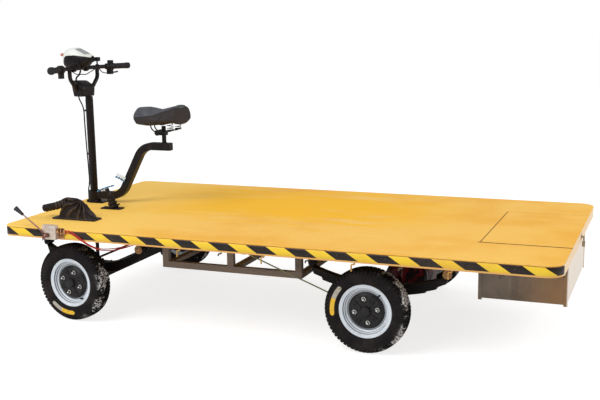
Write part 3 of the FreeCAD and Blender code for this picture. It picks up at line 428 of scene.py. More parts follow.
def tyre_surface():
    """A closed ring: the cross-section goes from bead to crown and back, and at each step round the wheel
    every rib drops by its groove depth. The grooves between ribs sway in a zigzag, one swing per pitch.
    Returns points, faces and how much of each point is tread."""
    pitches = 62
    steps = np.array([0.0, 0.03, 0.24, 0.27, 0.5, 0.53, 0.74, 0.77])
    round_share = (np.arange(pitches)[:, None] + steps).reshape(-1) / pitches
    groove_a = np.tile([0, 1, 1, 0, 0, 0, 0, 0], pitches).astype(float)
    groove_b = np.tile([0, 0, 0, 0, 0, 1, 1, 0], pitches).astype(float)
    half = np.array([
        # out, radius, drop at groove a, drop at groove b, inward at groove a, tread
        (0.0385, 0.1285, 0, 0, 0, 0), (0.0405, 0.1400, 0, 0, 0, 0), (0.0428, 0.1480, 0, 0, 0, 0),
        (0.0490, 0.1560, 0, 0, 0, 0), (0.0532, 0.1650, 0, 0, 0, 0), (0.0546, 0.1702, 0, 0, 0, 0),
        (0.0556, 0.1712, 0, 0, 0, 0), (0.0558, 0.1730, 0, 0, 0, 0), (0.0550, 0.1742, 0, 0, 0, 0),
        (0.0552, 0.1840, 0, 0, 0, 0), (0.0545, 0.1950, 0, 0, 0, 0), (0.0532, 0.2040, 0, 0, 0, 0.1),
        (0.0524, 0.2070, 0, 0, 0, 0.2), (0.0530, 0.2090, 0.0005, 0, 0.0030, 0.5),
        (0.0508, 0.2180, 0.0040, 0, 0.0045, 0.8), (0.0470, 0.2250, 0.0065, 0, 0.0030, 1),
        (0.0430, 0.2275, 0.0065, 0, 0.0010, 1), (0.0290, 0.2296, 0.0060, 0, 0, 1),
        (0.0286, 0.2240, 0, 0, 0, 0), (0.0240, 0.2242, 0, 0, 0, 0), (0.0236, 0.2300, 0, 0.0050, 0, 1),
        (0.0125, 0.2308, 0, 0.0050, 0, 1), (0.0121, 0.2252, 0, 0, 0, 0), (0.0078, 0.2254, 0, 0, 0, 0),
        (0.0074, 0.2311, 0.0035, 0.0035, 0, 1)])
    other = half[::-1] * [-1, 1, 1, 1, -1, 1]
    section = np.concatenate([half, other])
    angle = 2 * math.pi * round_share
    sway = 0.0021 * (np.abs((round_share * pitches) % 1.0 - 0.5) * 4 - 1)
    out = section[:, 0][:, None] - section[:, 4][:, None] * groove_a
    out = out + sway * (np.abs(section[:, 0]) < 0.0292)[:, None]
    radius = section[:, 1][:, None] - section[:, 2][:, None] * groove_a - section[:, 3][:, None] * groove_b
    points = np.stack([radius * np.sin(angle), out, radius * np.cos(angle)], axis=-1)
    faces = grid_faces(len(section), len(angle), True, True)[:, ::-1]
    tread = np.repeat(section[:, 5], len(angle))
    return points.reshape(-1, 3), faces, tread


def point_value(tree, name):
    """The number that the mesh carries at each point under this name."""
    node = tree.nodes.new("ShaderNodeAttribute")
    node.attribute_name = name
    return node.outputs["Fac"]


def store_values(piece, name, values):
    """Gives each point of the mesh its number under this name, for a material to read."""
    layer = piece.data.attributes.new(name, "FLOAT", "POINT")
    layer.data.foreach_set("value", np.asarray(values, np.float32).ravel())


def split_place(tree, where):
    """The X, Y and Z of a place, each as a socket."""
    node = tree.nodes.new("ShaderNodeSeparateXYZ")
    tree.links.new(where, node.inputs[0])
    return node.outputs


def tyre_rubber():
    """Black rubber, browner where it is worn, with whitish patches on the tread, kept to the rear part of
    each tyre.
    """
    material, tree, output = new_material("tyre_rubber")
    where = object_place(tree)
    clouds = noise_field(tree, where, 9.0, 5.0, 0.6)
    specks = noise_field(tree, where, 90.0, 3.0, 0.65)
    colour = fading(tree, clouds, 0.42, 0.7, tint(27, 24, 25), tint(46, 41, 41))
    # Whitish patches on the tread, only over the rear part of each tyre.
    pale_patches = maths(tree, "MULTIPLY", step_between(tree, clouds, 0.50, 0.56),
                 step_between(tree, specks, 0.44, 0.52))
    pale_patches = maths(tree, "MULTIPLY", pale_patches, point_value(tree, "tread"))
    along = split_place(tree, where)["X"]
    behind_front = maths(tree, "MULTIPLY", maths(tree, "GREATER_THAN", along, 0.5),
                         step_between(tree, along, 1.06, 1.16, 1.0, 0.0))
    behind_rear = step_between(tree, along, -0.76, -0.66, 1.0, 0.0)
    pale_patches = maths(tree, "MULTIPLY", pale_patches, maths(tree, "MAXIMUM", behind_front, behind_rear))
    colour = blend_colours(tree, pale_patches, colour, tint(226, 222, 220))
    colour = fading(tree, specks, 0.66, 0.72, colour, tint(92, 84, 80), 0.0, 0.5)
    rough = step_between(tree, clouds, 0.3, 0.7, 0.62, 0.85)
    finish_surface(tree, output, colour, rough, specks, 0.35, gloss=0.12)
    return material


rubber = tyre_rubber()
tyre_points, tyre_faces, tyre_tread = tyre_surface()
for stand in wheel_stands():
    name = stand[0]
    tyre = mesh_piece("block_tyre_" + name, *at_wheel(stand, tyre_points, tyre_faces), rubber)
    store_values(tyre, "tread", tyre_tread)
    soften(tyre, 32.0)
    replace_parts(tyre, "tyre_" + name)
    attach(tyre, "wheel_" + name)


# Pressed rims: a rolled lip, three steps down to the flat disc, and the barrel behind.
def silver_rim_paint():
    """Silver paint with painted shade along the foot of each step, found by the distance from the wheel's
    axis.
    """
    material, tree, output = new_material("rim_silver_paint")
    where = object_place(tree)
    clouds = noise_field(tree, where, 16.0, 5.0)
    fine = noise_field(tree, where, 420.0, 2.0)
    specks = noise_field(tree, where, 300.0, 3.0, 0.7)
    away = point_value(tree, "from_axis")
    colour = fading(tree, clouds, 0.5, 0.8, tint(224, 231, 238), tint(198, 206, 215))
    # Painted shade: a dark bluish line along the foot of each step.
    for foot, reach, depth in ((0.1266, 0.0013, 0.85), (0.1186, 0.0009, 0.7), (0.1070, 0.0022, 0.8)):
        apart = maths(tree, "ABSOLUTE", maths(tree, "SUBTRACT", away, foot))
        colour = fading(tree, apart, reach * 0.5, reach, colour, tint(70, 78, 90), depth, 0.0)
    colour = fading(tree, specks, 0.70, 0.78, colour, tint(150, 154, 160), 0.0, 0.4)
    finish_surface(tree, output, colour, step_between(tree, specks, 0.3, 0.7, 0.32, 0.46), fine, 0.1,
                   metal=0.1)
    return material


silver_paint = silver_rim_paint()
rim_profile = [(-0.0070, 0.1448), (-0.0040, 0.1466), (-0.0008, 0.1470), (0.0012, 0.1458), (0.0018, 0.1438),
               (0.0012, 0.1415), (-0.0004, 0.1388), (-0.0016, 0.1350), (-0.0022, 0.1310), (-0.0026, 0.1292),
               (-0.0042, 0.1280), (-0.0128, 0.1272), (-0.0140, 0.1266), (-0.0142, 0.1256),
               (-0.0136, 0.1225), (-0.0140, 0.1198), (-0.0152, 0.1190), (-0.0222, 0.1184),
               (-0.0232, 0.1174), (-0.0238, 0.1140), (-0.0262, 0.1100), (-0.0306, 0.1072),
               (-0.0308, 0.1040), (-0.0300, 0.0620), (-0.0350, 0.0620), (-0.0362, 0.1080),
               (-0.0840, 0.1190), (-0.0860, 0.1380), (-0.0880, 0.1400), (-0.0900, 0.1440),
               (-0.0890, 0.1462), (-0.0860, 0.1462), (-0.0835, 0.1430), (-0.0825, 0.1280),
               (-0.0700, 0.1272), (-0.0180, 0.1276), (-0.0080, 0.1284)]
nut_chrome = worn_paint("nut_bright_zinc", tint(232, 232, 228), tint(176, 172, 166), patch=60.0,
                        cover=(0.5, 0.8), metal=0.35, rough=(0.2, 0.36), relief=0.08, gloss=0.6)
hub_black = worn_paint("hub_black_enamel", tint(38, 36, 37), tint(66, 60, 58), patch=26.0,
                       cover=(0.55, 0.85), rough=(0.26, 0.45), relief=0.18, gloss=0.25)
cap_black = worn_paint("hub_cap_black", tint(34, 33, 35), tint(58, 54, 52), patch=40.0, cover=(0.5, 0.8),
                       rough=(0.2, 0.36), relief=0.1, gloss=0.25)
washer_profile = [(-0.0130, 0.0), (-0.0130, 0.0125), (-0.0108, 0.0125), (-0.0108, 0.0)]
nut_profile = [(-0.0110, 0.0), (-0.0110, 0.0098), (-0.0030, 0.0098), (-0.0012, 0.0080), (-0.0012, 0.0)]
stud_profile = [(-0.0030, 0.0), (-0.0030, 0.0052), (0.0034, 0.0052), (0.0042, 0.0040), (0.0042, 0.0)]
pocket_profile = [(-0.0140, 0.0170), (-0.0092, 0.0172), (-0.0084, 0.0182), (-0.0092, 0.0196),
                  (-0.0140, 0.0205)]
boss_profile = [(-0.0105, 0.0300), (-0.0060, 0.0302), (-0.0050, 0.0312), (-0.0060, 0.0330),
                (-0.0105, 0.0336)]
cap_profile = [(0.0, 0.0262), (0.0050, 0.0262), (0.0074, 0.0246), (0.0086, 0.0200), (0.0090, 0.0120),
               (0.0092, 0.0)]
valve_profile = [(0.0, 0.0), (0.0, 0.0070), (0.004, 0.0062), (0.014, 0.0048), (0.020, 0.0046),
                 (0.0205, 0.0052), (0.029, 0.0052), (0.031, 0.0042), (0.031, 0.0)]
rim_count, face_out, nut_circle, valve_circle = 96, 0.044, 0.065, 0.1225
for stand in wheel_stands():
    name = stand[0]
    rim_surface = turned_surface(rim_profile, (0, face_out, 0), (0, 1, 0), rim_count, True)
    rim = mesh_piece("stepped_rim_" + name, *at_wheel(stand, *rim_surface), silver_paint)
    store_values(rim, "from_axis", np.repeat([radius for _, radius in rim_profile], rim_count))
    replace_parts(soften(rim, 50.0), "rim_" + name)
    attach(rim, "wheel_" + name)
    dress(hub_black, "hub_" + name)
    first_nut, valve_angle = np.radians((19.0, -129.0) if name.startswith("front") else (80.0, 130.0))
    nuts, lips = [], []
    for angle in first_nut + np.arange(4) * math.pi / 2:
        spot = (nut_circle * math.cos(angle), face_out, nut_circle * math.sin(angle))
        for profile, count in ((washer_profile, 24), (nut_profile, 6), (stud_profile, 14)):
            nuts.append(turned_surface(profile, spot, (0, 1, 0), count))
        lips.append(turned_surface(pocket_profile, spot, (0, 1, 0), 28, True))
        web = angle + math.pi / 4
        along = np.array([math.cos(web), 0, math.sin(web)])
        across = np.array([-math.sin(web), 0, math.cos(web)])
        reach, width = np.array([0.030, 0.050, 0.074, 0.090]), np.array([0.0075, 0.0050, 0.0065, 0.0105])
        rise = np.array([-0.0066, -0.0076, -0.0086, -0.0126])
        ridge = []
        for edge, lift in ((-1.25, -0.008), (-0.8, 0.0), (0.8, 0.0), (1.25, -0.008)):
            ridge.append(reach[:, None] * along + edge * width[:, None] * across
                         + (face_out + rise + lift)[:, None] * [0, 1.0, 0])
        lips.append((np.stack(ridge).reshape(-1, 3), grid_faces(4, 4)))
    lips.append(turned_surface(boss_profile, (0, face_out, 0), (0, 1, 0), 48, True))
    wheel_nuts = mesh_piece("wheel_nuts_" + name, *at_wheel(stand, *joined(nuts)), nut_chrome)
    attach(soften(wheel_nuts, 25.0), "wheel_" + name)
    hub_lips = mesh_piece("hub_pockets_" + name, *at_wheel(stand, *joined(lips)), hub_black)
    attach(soften(hub_lips, 35.0), "wheel_" + name)
    cap_surface = turned_surface(cap_profile, (0, face_out, 0), (0, 1, 0), 48)
    cap = mesh_piece("hub_cap_" + name, *at_wheel(stand, *cap_surface), cap_black)
    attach(soften(cap, 35.0), "wheel_" + name)
    spoke = np.array([math.cos(valve_angle), 0.0, math.sin(valve_angle)])
    stem_surface = turned_surface(valve_profile, valve_circle * spoke + [0, face_out - 0.024, 0],
                                  [0, 1.0, 0] - 0.35 * spoke, 20)
    valve = mesh_piece("valve_stem_" + name, *at_wheel(stand, *stem_surface), rubber)
    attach(soften(valve, 40.0), "wheel_" + name)


# Blank paper labels still stuck to the sidewalls, pale at one end and yellow for the rest.
def along_sheet(tree, name):
    """The X and Y of the piece's own flat map of this name, each as a socket."""
    flat = tree.nodes.new("ShaderNodeUVMap")
    flat.uv_map = name
    return split_place(tree, flat.outputs["UV"])


def store_flat_map(piece, name, places):
    """Gives each face corner the flat place of its point."""
    corners = np.array([loop.vertex_index for loop in piece.data.loops])
    layer = piece.data.uv_layers.new(name=name)
    layer.data.foreach_set("uv", places[corners].astype(np.float32).ravel())


def label_paper():
    """Pale and yellow paper, split along the label's length, a little rubbed."""
    material, tree, output = new_material("sidewall_label")
    rub = noise_field(tree, object_place(tree), 70.0, 4.0, 0.7)
    colour = fading(tree, along_sheet(tree, "label")["X"], 0.44, 0.46, tint(182, 176, 160),
                    tint(238, 188, 42))
    colour = fading(tree, rub, 0.56, 0.68, colour, tint(120, 104, 78))
    finish_surface(tree, output, colour, step_between(tree, rub, 0.3, 0.7, 0.4, 0.6), rub, 0.1)
    return material


def label_strip(start, end, count=40):
    """An arc strip on the sidewall: the radius runs from inner to outer edge, narrowed to round the ends."""
    share = np.linspace(0, 1, count)
    angle = np.radians(start + (end - start) * share)
    near_end = np.minimum(share, 1 - share) / 0.075
    width = 0.0122 * np.sqrt(np.clip(1 - (1 - np.clip(near_end, 0, 1)) ** 2, 0.02, 1))
    across = np.linspace(-1, 1, 7)
    radius = 0.1815 + width[None] * across[:, None]
    wall_radius = [0.1560, 0.1650, 0.1702, 0.1712, 0.1730, 0.1742, 0.1840, 0.1950, 0.2040]
    wall_out = [0.0490, 0.0532, 0.0546, 0.0556, 0.0558, 0.0550, 0.0552, 0.0545, 0.0532]
    out = np.interp(radius, wall_radius, wall_out) + 0.0007
    points = np.stack([radius * np.cos(angle), out, radius * np.sin(angle)], axis=-1)
    uv = np.stack([np.broadcast_to(share, radius.shape), np.broadcast_to(across[:, None], radius.shape)],
                  axis=-1)
    return points.reshape(-1, 3), grid_faces(7, count), uv.reshape(-1, 2)


paper = label_paper()
for stand in wheel_stands():
    name = stand[0]
    start, end = (-44.0, -99.0) if name.startswith("front") else (44.0, -11.0)
    strip_points, strip_faces, strip_uv = label_strip(start, end)
    label = mesh_piece("sidewall_label_" + name, *at_wheel(stand, strip_points, strip_faces), paper)
    store_flat_map(label, "label", strip_uv)
    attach(label, "wheel_" + name)


# ---- Deck -----------------------------------------------------------------------------------
# A folded steel sheet in golden paint with fine sand rolled into it, its edge folded down into a
# band all round. The sand has rubbed thin in patches and the fold is scuffed brown along the top.
gold, deep_gold, pale_gold = tint(246, 193, 88), tint(240, 176, 58), tint(250, 206, 118)
deck_front, deck_back, deck_half = 1.590, -1.640, 0.820
hatch_front, hatch_half = -1.1675, 0.4275


def sanded_gold(tree, where):
    """Golden paint: broad clouds of a deeper and a paler tone, paler towards the front as painted light,
    with a fine sandy speckle."""
    broad = noise_field(tree, where, 1.6, 3.0, 0.6)
    streaks = noise_field(tree, object_place(tree, (0.35, 2.2, 1.0)), 3.2, 4.0, 0.6)
    sand = noise_field(tree, where, 460.0, 2.0, 0.7)
    grit = noise_field(tree, where, 120.0, 3.0, 0.75)
    colour = fading(tree, broad, 0.4, 0.68, gold, deep_gold)
    colour = fading(tree, streaks, 0.5, 0.78, colour, pale_gold, 0.0, 0.4)
    colour = fading(tree, grit, 0.56, 0.70, colour, tint(198, 132, 44), 0.0, 0.6)
    colour = fading(tree, sand, 0.56, 0.70, colour, tint(255, 226, 150), 0.0, 0.6)
    # Painted light: the paint turns paler towards the front of the deck.
    colour = fading(tree, split_place(tree, where)["X"], 0.3, 1.3, colour, tint(255, 212, 104), 0.0, 0.6)
    return colour, sand, grit


def deck_paint():
    """The sanded gold, deeper where it was laid on thick across the middle, dark along the hatch's gap."""
    material, tree, output = new_material("sanded_gold_paint")
    where = object_place(tree)
    colour, sand, grit = sanded_gold(tree, where)
    place = split_place(tree, where)
    x, y = place["X"], place["Y"]
    sway = noise_field(tree, object_place(tree, (0.45, 2.6, 1.0)), 3.4, 5.0, 0.65)
    across = maths(tree, "ADD", y, maths(tree, "MULTIPLY", maths(tree, "SUBTRACT", sway, 0.5), 2.0))
    over_width = maths(tree, "MULTIPLY", step_between(tree, across, -0.80, -0.45),
                       step_between(tree, across, 0.0, 0.30, 1.0, 0.0))
    over_length = maths(tree, "MULTIPLY", step_between(tree, x, -1.10, -0.30),
                        step_between(tree, x, 0.50, 1.30, 0.9, 0.0))
    thick = maths(tree, "MULTIPLY", over_width, over_length)
    colour = blend_colours(tree, thick, colour, tint(247, 186, 22))
    from_side = maths(tree, "ABSOLUTE", maths(tree, "SUBTRACT", y, hatch_half))
    along_side = maths(tree, "MULTIPLY", step_between(tree, from_side, 0.0060, 0.0085, 1.0, 0.0),
                       maths(tree, "LESS_THAN", x, -1.155))
    from_front = maths(tree, "ABSOLUTE", maths(tree, "SUBTRACT", x, hatch_front))
    along_front = maths(tree, "MULTIPLY", step_between(tree, from_front, 0.0026, 0.0036, 0.8, 0.0),
                        maths(tree, "LESS_THAN", maths(tree, "ABSOLUTE", y), hatch_half))
    colour = blend_colours(tree, maths(tree, "MAXIMUM", along_side, along_front), colour, tint(96, 62, 28))
    finish_surface(tree, output, colour, step_between(tree, grit, 0.3, 0.7, 0.55, 0.78),
                   maths(tree, "ADD", sand, grit), 0.4, gloss=0.3)
    return material


def band_paint():
    """The deck's gold with a brown scuffed line under the fold, a cream lower lip, and pale at the back."""
    material, tree, output = new_material("band_gold_paint")
    where = object_place(tree)
    colour, sand, grit = sanded_gold(tree, where)
    place = split_place(tree, where)
    sway = noise_field(tree, object_place(tree, (1.0, 1.0, 0.05)), 16.0, 4.0, 0.7)
    waver = maths(tree, "MULTIPLY", maths(tree, "SUBTRACT", sway, 0.5), 0.006)
    height = maths(tree, "ADD", place["Z"], waver)
    scuff = maths(tree, "MULTIPLY", step_between(tree, height, 0.5728, 0.5742),
                  step_between(tree, height, 0.5760, 0.5776, 1.0, 0.0))
    colour = blend_colours(tree, scuff, colour, tint(150, 92, 40))
    colour = fading(tree, height, 0.5290, 0.5310, colour, tint(228, 172, 100), 1.0, 0.0)
    colour = fading(tree, place["X"], -1.6385, -1.63, colour, tint(238, 216, 186), 0.8, 0.0)
    finish_surface(tree, output, colour, step_between(tree, grit, 0.3, 0.7, 0.45, 0.7),
                   maths(tree, "ADD", sand, grit), 0.25, gloss=0.35)
    return material


deck_gold = deck_paint()
dress(deck_gold, "deck_plate")
dress(band_paint(), "deck_band")


# ---- Hazard tape ----------------------------------------------------------------------------
# Yellow and black warning tape stuck to the band along both sides and round the front corners.
# Its blocks lean back towards the ground, one every 224 mm.
def band_outline(spread, front_radius=0.054, rear_radius=0.090):
    """Points round the deck's outline, moved outward by spread, from the rear left corner forward round
    the front to the rear right corner, with the length run so far counted from the left side's front end."""
    arcs = [(deck_back + rear_radius, deck_half - rear_radius, rear_radius, 168.0, 90.0),
            (deck_front - front_radius, deck_half - front_radius, front_radius, 90.0, 0.0),
            (deck_front - front_radius, front_radius - deck_half, front_radius, 0.0, -90.0),
            (deck_back + rear_radius, rear_radius - deck_half, rear_radius, -90.0, -168.0)]
    pieces = []
    for x, y, radius, start, end in arcs:
        angle = np.radians(np.linspace(start, end, 25))
        away = radius + spread
        pieces.append(np.stack([x + away * np.cos(angle), y + away * np.sin(angle)], 1))
    outline = np.concatenate(pieces)
    run = np.concatenate([[0], np.cumsum(np.linalg.norm(np.diff(outline, axis=0), axis=1))])
    return outline, run - run[25]


def hazard_tape():
    """Tape printed by its own length and height: black where the length, sheared by the height, falls in
    the first half of each block. The strip round each front corner is a piece of its own, out of step."""
    block_length, black_share, lean = 0.2240, 0.53, 0.066
    first_block, corner_from, corner_step = 0.179, -0.290, 0.080
    material, tree, output = new_material("hazard_tape")
    strip = along_sheet(tree, "tape")
    where = object_place(tree)
    clouds = noise_field(tree, where, 7.0, 5.0, 0.65)
    fine = noise_field(tree, where, 210.0, 3.0, 0.6)
    drop = maths(tree, "SUBTRACT", 1.0, strip["Y"])
    rearward = maths(tree, "SUBTRACT", maths(tree, "MULTIPLY", strip["X"], -1.0),
                     maths(tree, "MULTIPLY", drop, lean))
    at_corner = maths(tree, "GREATER_THAN", strip["X"], corner_from)
    ragged = maths(tree, "MULTIPLY", maths(tree, "SUBTRACT", fine, 0.5), 0.003)
    phase = maths(tree, "SUBTRACT", first_block, maths(tree, "MULTIPLY", at_corner, corner_step))
    moved = maths(tree, "ADD", maths(tree, "SUBTRACT", rearward, phase), ragged)
    share = maths(tree, "FRACT", maths(tree, "ADD", maths(tree, "DIVIDE", moved, block_length), 40.0))
    black = maths(tree, "LESS_THAN", share, black_share)
    yellow = fading(tree, clouds, 0.45, 0.7, tint(247, 206, 56), tint(240, 190, 64))
    soot = fading(tree, clouds, 0.45, 0.72, tint(36, 29, 26), tint(60, 48, 38))
    colour = blend_colours(tree, black, yellow, soot)
    colour = fading(tree, fine, 0.66, 0.76, colour, tint(226, 190, 130), 0.0, 0.5)
    shine = step_between(tree, clouds, 0.3, 0.7, 0.3, 0.5)
    finish_surface(tree, output, colour, shine, fine, 0.08, gloss=0.3)
    return material


tape_low, tape_high, tape_thick = 0.5310, 0.5735, 0.0006
rows, uv_rows = [], []
for spread, height in ((0.0001, tape_low), (tape_thick, tape_low + 0.0004),
                       (tape_thick, tape_high - 0.0004), (0.0001, tape_high)):
    outline, run = band_outline(spread)
    rows.append(np.column_stack([outline, np.full(len(outline), height)]))
    uv_rows.append(np.column_stack([run, np.full(len(run), (height - tape_low) / (tape_high - tape_low))]))
edge_tape = mesh_piece("hazard_edge_tape", np.concatenate(rows),
                       grid_faces(4, len(rows[0]))[:, ::-1], hazard_tape())
store_flat_map(edge_tape, "tape", np.concatenate(uv_rows))
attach(edge_tape, "chassis")


# ---- Hatch, rear box and lashing hooks -------------------------------------------------------
# A lid in the same sanded gold, let into the deck over a bolted sheet steel box, with a hasp and
# padlock behind. Bent rod hooks hang under both long edges, long gilt ones and short dark ones.
def box_steel():
    """Dull mill steel in vertical streaks, warmer and paler towards the back, with the rear face near white
    as a painted reflection.
    """
    material, tree, output = new_material("box_mill_steel")
    where = object_place(tree)
    along = split_place(tree, where)["X"]
    streaks = noise_field(tree, object_place(tree, (1.0, 1.0, 0.12)), 26.0, 4.0, 0.6)
    clouds = noise_field(tree, where, 5.0, 4.0, 0.6)
    colour = fading(tree, clouds, 0.35, 0.7, tint(130, 116, 102), tint(102, 90, 79))
    colour = fading(tree, streaks, 0.5, 0.75, colour, tint(146, 132, 116), 0.0, 0.6)
    colour = fading(tree, along, -1.6, -1.3, colour, tint(168, 126, 78), 0.75, 0.0)
    # Painted reflection: the rear face is near white.
    colour = fading(tree, along, -1.6198, -1.6190, colour, tint(236, 224, 210), 1.0, 0.0)
    finish_surface(tree, output, colour, step_between(tree, clouds, 0.3, 0.7, 0.4, 0.6), streaks, 0.1,
                   metal=0.15)
    return material


dress(deck_gold, "hatch_lid", "hatch_hinge")
dress(box_steel(), "box_sides", "box_ends", "box_floor", "box_angles")
dress(worn_paint("latch_steel", tint(170, 150, 128), tint(110, 88, 70), patch=24.0, metal=0.6,
                 rough=(0.3, 0.5)), "hatch_latch")


def hook_finish():
    """Gilt on the long hooks and dark bare rod on the short ones, which come every other place."""
    first_hook, hook_pitch = 0.686, 0.2532
    material, tree, output = new_material("hook_gilt_and_rod")
    where = object_place(tree)
    behind_first = maths(tree, "SUBTRACT", first_hook + hook_pitch / 2, split_place(tree, where)["X"])
    count = maths(tree, "DIVIDE", behind_first, hook_pitch * 2)
    short = maths(tree, "LESS_THAN", maths(tree, "FRACT", count), 0.5)
    clouds = noise_field(tree, where, 60.0, 4.0, 0.6)
    gilt = fading(tree, clouds, 0.4, 0.7, tint(214, 166, 84), tint(150, 108, 60))
    bare = fading(tree, clouds, 0.4, 0.7, tint(98, 90, 72), tint(66, 58, 50))
    finish_surface(tree, output, blend_colours(tree, short, gilt, bare),
                   step_between(tree, clouds, 0.3, 0.7, 0.35, 0.55), clouds, 0.1, metal=0.4)
    return material


dress(hook_finish(), "rope_hooks")


# ---- Steering column and handlebar -----------------------------------------------------------
# A black enamelled tube stands on a flange bolted to the deck; the shaft in it carries the
# control box, two bent risers and the cross bar, which is turned with the wheels.
def black_enamel():
    """Glossy black-brown enamel with faint drips and small rubbed places."""
    material, tree, output = new_material("column_black_enamel")
    where = object_place(tree)
    drips = noise_field(tree, object_place(tree, (1.0, 1.0, 0.15)), 34.0, 4.0, 0.6)
    rubs = noise_field(tree, where, 40.0, 4.0, 0.7)
    colour = fading(tree, drips, 0.4, 0.75, tint(20, 16, 17), tint(38, 29, 28))
    colour = fading(tree, rubs, 0.68, 0.76, colour, tint(104, 92, 84), 0.0, 0.6)
    finish_surface(tree, output, colour, step_between(tree, drips, 0.3, 0.7, 0.22, 0.4), rubs, 0.1,
                   gloss=0.22)
    return material


enamel = black_enamel()
dress(enamel, "column_housing", "steering_shaft", "handlebar", "seat_frame", "seat_post")

column_x, plate_top = 1.487, 0.5910
flange_bolts = []
for bolt_x, bolt_y in ((1.404, -0.036), (1.404, 0.048), (1.444, 0.050), (1.524, 0.022), (1.524, -0.022),
                       (column_x, 0.047)):
    spot = (bolt_x, bolt_y, plate_top)
    flange_bolts.append(turned_surface([(0.0, 0.0), (0.0, 0.0085), (0.0012, 0.0085), (0.0012, 0.0)], spot,
                                       (0, 0, 1), 20))
    flange_bolts.append(turned_surface([(0.0010, 0.0), (0.0010, 0.0066), (0.0055, 0.0066), (0.0066, 0.0055),
                                        (0.0066, 0.0)], spot, (0, 0, 1), 6))
foot_bolts = mesh_piece("column_foot_bolts", *joined(flange_bolts), hub_black)
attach(soften(foot_bolts, 25.0), "chassis")


def turned_with_bar(points):
    """Points in the handlebar's own frame turned about the column by the angle at which the bar stands."""
    points = np.asarray(points, float) - [column_x, 0, 0]
    turn = math.radians(-11.0)
    x = points[:, 0] * math.cos(turn) - points[:, 1] * math.sin(turn)
    y = points[:, 0] * math.sin(turn) + points[:, 1] * math.cos(turn)
    return np.stack([x + column_x, y, points[:, 2]], axis=1)


def signed_power(value, power):
    """The size of the value raised to the power, with the value's own sign."""
    return np.sign(value) * np.abs(value) ** power


# The bar's small parts: black moulded plastic switches, levers and unit, with rubber leads between them.
box_plastic = worn_paint("control_box_plastic", tint(28, 24, 24), tint(54, 45, 43), patch=18.0,
                         cover=(0.5, 0.8), grain=900.0, rough=(0.32, 0.5), relief=0.15, gloss=0.22)
dress(box_plastic, "bar_controls", "bar_unit")
lead_rubber = worn_paint("lead_rubber", tint(26, 22, 23), tint(52, 44, 42), patch=60.0, rough=(0.45, 0.65),
                         gloss=0.2)
dress(lead_rubber, "bar_leads")


# Headlamp and meter pod, clipped to the bar: a wedge hood with a flat sloping top that holds the display,
# white cheeks round the nose and a dark shell below.
def rounded_block(centre, half, square=0.3, count=28):
    """A superellipsoid: each of its three half sizes times powers of the sine and cosine of two angles,
    which is a ball at square 1 and nearly a brick at 0.2."""
    rise = np.linspace(-math.pi / 2, math.pi / 2, count)[:, None]
    turn = np.linspace(0, 2 * math.pi, count, endpoint=False)[None, :]
    level = signed_power(np.cos(rise), square)
    points = np.stack([level * signed_power(np.cos(turn), square) * half[0],
                       level * signed_power(np.sin(turn), square) * half[1],
                       signed_power(np.sin(rise), square) * half[2] + 0 * turn], axis=-1)
    return points.reshape(-1, 3) + centre, grid_faces(count, count, False, True)


pod_back, pod_half, top_squareness, panel_middle = -0.052, 0.070, 0.85, 0.030


def pod_outline(along):
    """Half width, top and bottom of the pod at distances ahead of the column: a straight slope up to a
    crest, then a round nose, over a belly that is deepest below the crest."""
    widest, crest, crest_z, heel_z, belly_z = 0.098, 0.088, 1.592, 1.541, 1.446
    ahead, behind = np.clip((along - widest) / 0.090, 0, 1), np.clip((widest - along) / 0.151, 0, 1)
    half = pod_half * np.sqrt(1 - ahead ** 2.6) * (0.20 + 0.80 * (1 - behind ** 1.7) ** 0.75)
    nose = np.clip((along - crest) / 0.101, 0, 1)
    nose_drop = 0.062 * (1 - np.sqrt(1 - nose ** 2))
    top = np.where(along < crest, heel_z + (along - pod_back) * 0.364, crest_z - nose_drop)
    return half, top, belly_z + np.where(along < widest, 0.066 * behind ** 2.2, 0.046 * ahead ** 3)


def pod_surface(along, start_angle, end_angle, count, inset=0.0):
    """Rings of a squared ellipse from one angle to the other at each distance along the pod."""
    half, top, low = (value[:, None] for value in pod_outline(along))
    middle = (top + low) / 2
    angle = start_angle[:, None] + (end_angle - start_angle)[:, None] * np.linspace(0, 1, count)[None, :]
    y = signed_power(np.cos(angle), 0.62) * np.maximum(half - inset, 0.0005)
    z = middle + signed_power(np.sin(angle), top_squareness) * np.maximum((top - low) / 2 - inset, 0.0005)
    return np.stack([column_x + along[:, None] + 0 * y, y, z], axis=-1)


nose_from, nose_length = 0.150, 0.0378
stations = np.concatenate([np.linspace(pod_back, nose_from, 90),
                           nose_from + nose_length * np.sin(np.linspace(0, math.pi / 2, 26))[1:]])
half, top, low = pod_outline(stations)
split = np.interp(stations, [pod_back, -0.02, 0.05, 0.120, 0.138, 0.152, 0.163, 0.172],
                  [1.531, 1.537, 1.5455, 1.543, 1.532, 1.505, 1.470, 1.440])
share = np.clip((split - (top + low) / 2) / ((top - low) / 2), -1, 1)
lower_edge = np.arcsin(signed_power(share, 1 / top_squareness))
hood_points = pod_surface(stations, lower_edge, math.pi - lower_edge, 61)
from_middle = np.abs(hood_points[..., :2] - [column_x + panel_middle, 0])
from_edge = np.min([0.046, 0.031] - from_middle, axis=-1)
hood_points[..., 2] -= 0.0010 * np.clip(from_edge / 0.003, 0, 1)


def hood_plastic():
    """White moulded plastic with a grey printed display panel, blank and scuffed, let into its top."""
    material, tree, output = new_material("hood_white_plastic")
    where = object_place(tree)
    clouds = noise_field(tree, where, 9.0, 4.0, 0.6)
    grain = noise_field(tree, where, 700.0, 2.0, 0.6)
    smears = noise_field(tree, object_place(tree, (1.0, 2.0, 1.0)), 90.0, 3.0, 0.6)
    colour = fading(tree, clouds, 0.4, 0.7, tint(226, 230, 224), tint(204, 206, 198))
    grey = fading(tree, smears, 0.4, 0.6, tint(176, 178, 178), tint(118, 120, 124))
    colour = fading(tree, point_value(tree, "from_edge"), 0.0, 0.0015, colour, grey)
    finish_surface(tree, output, colour, step_between(tree, clouds, 0.3, 0.7, 0.24, 0.38), grain, 0.06,
                   gloss=0.4)
    return material


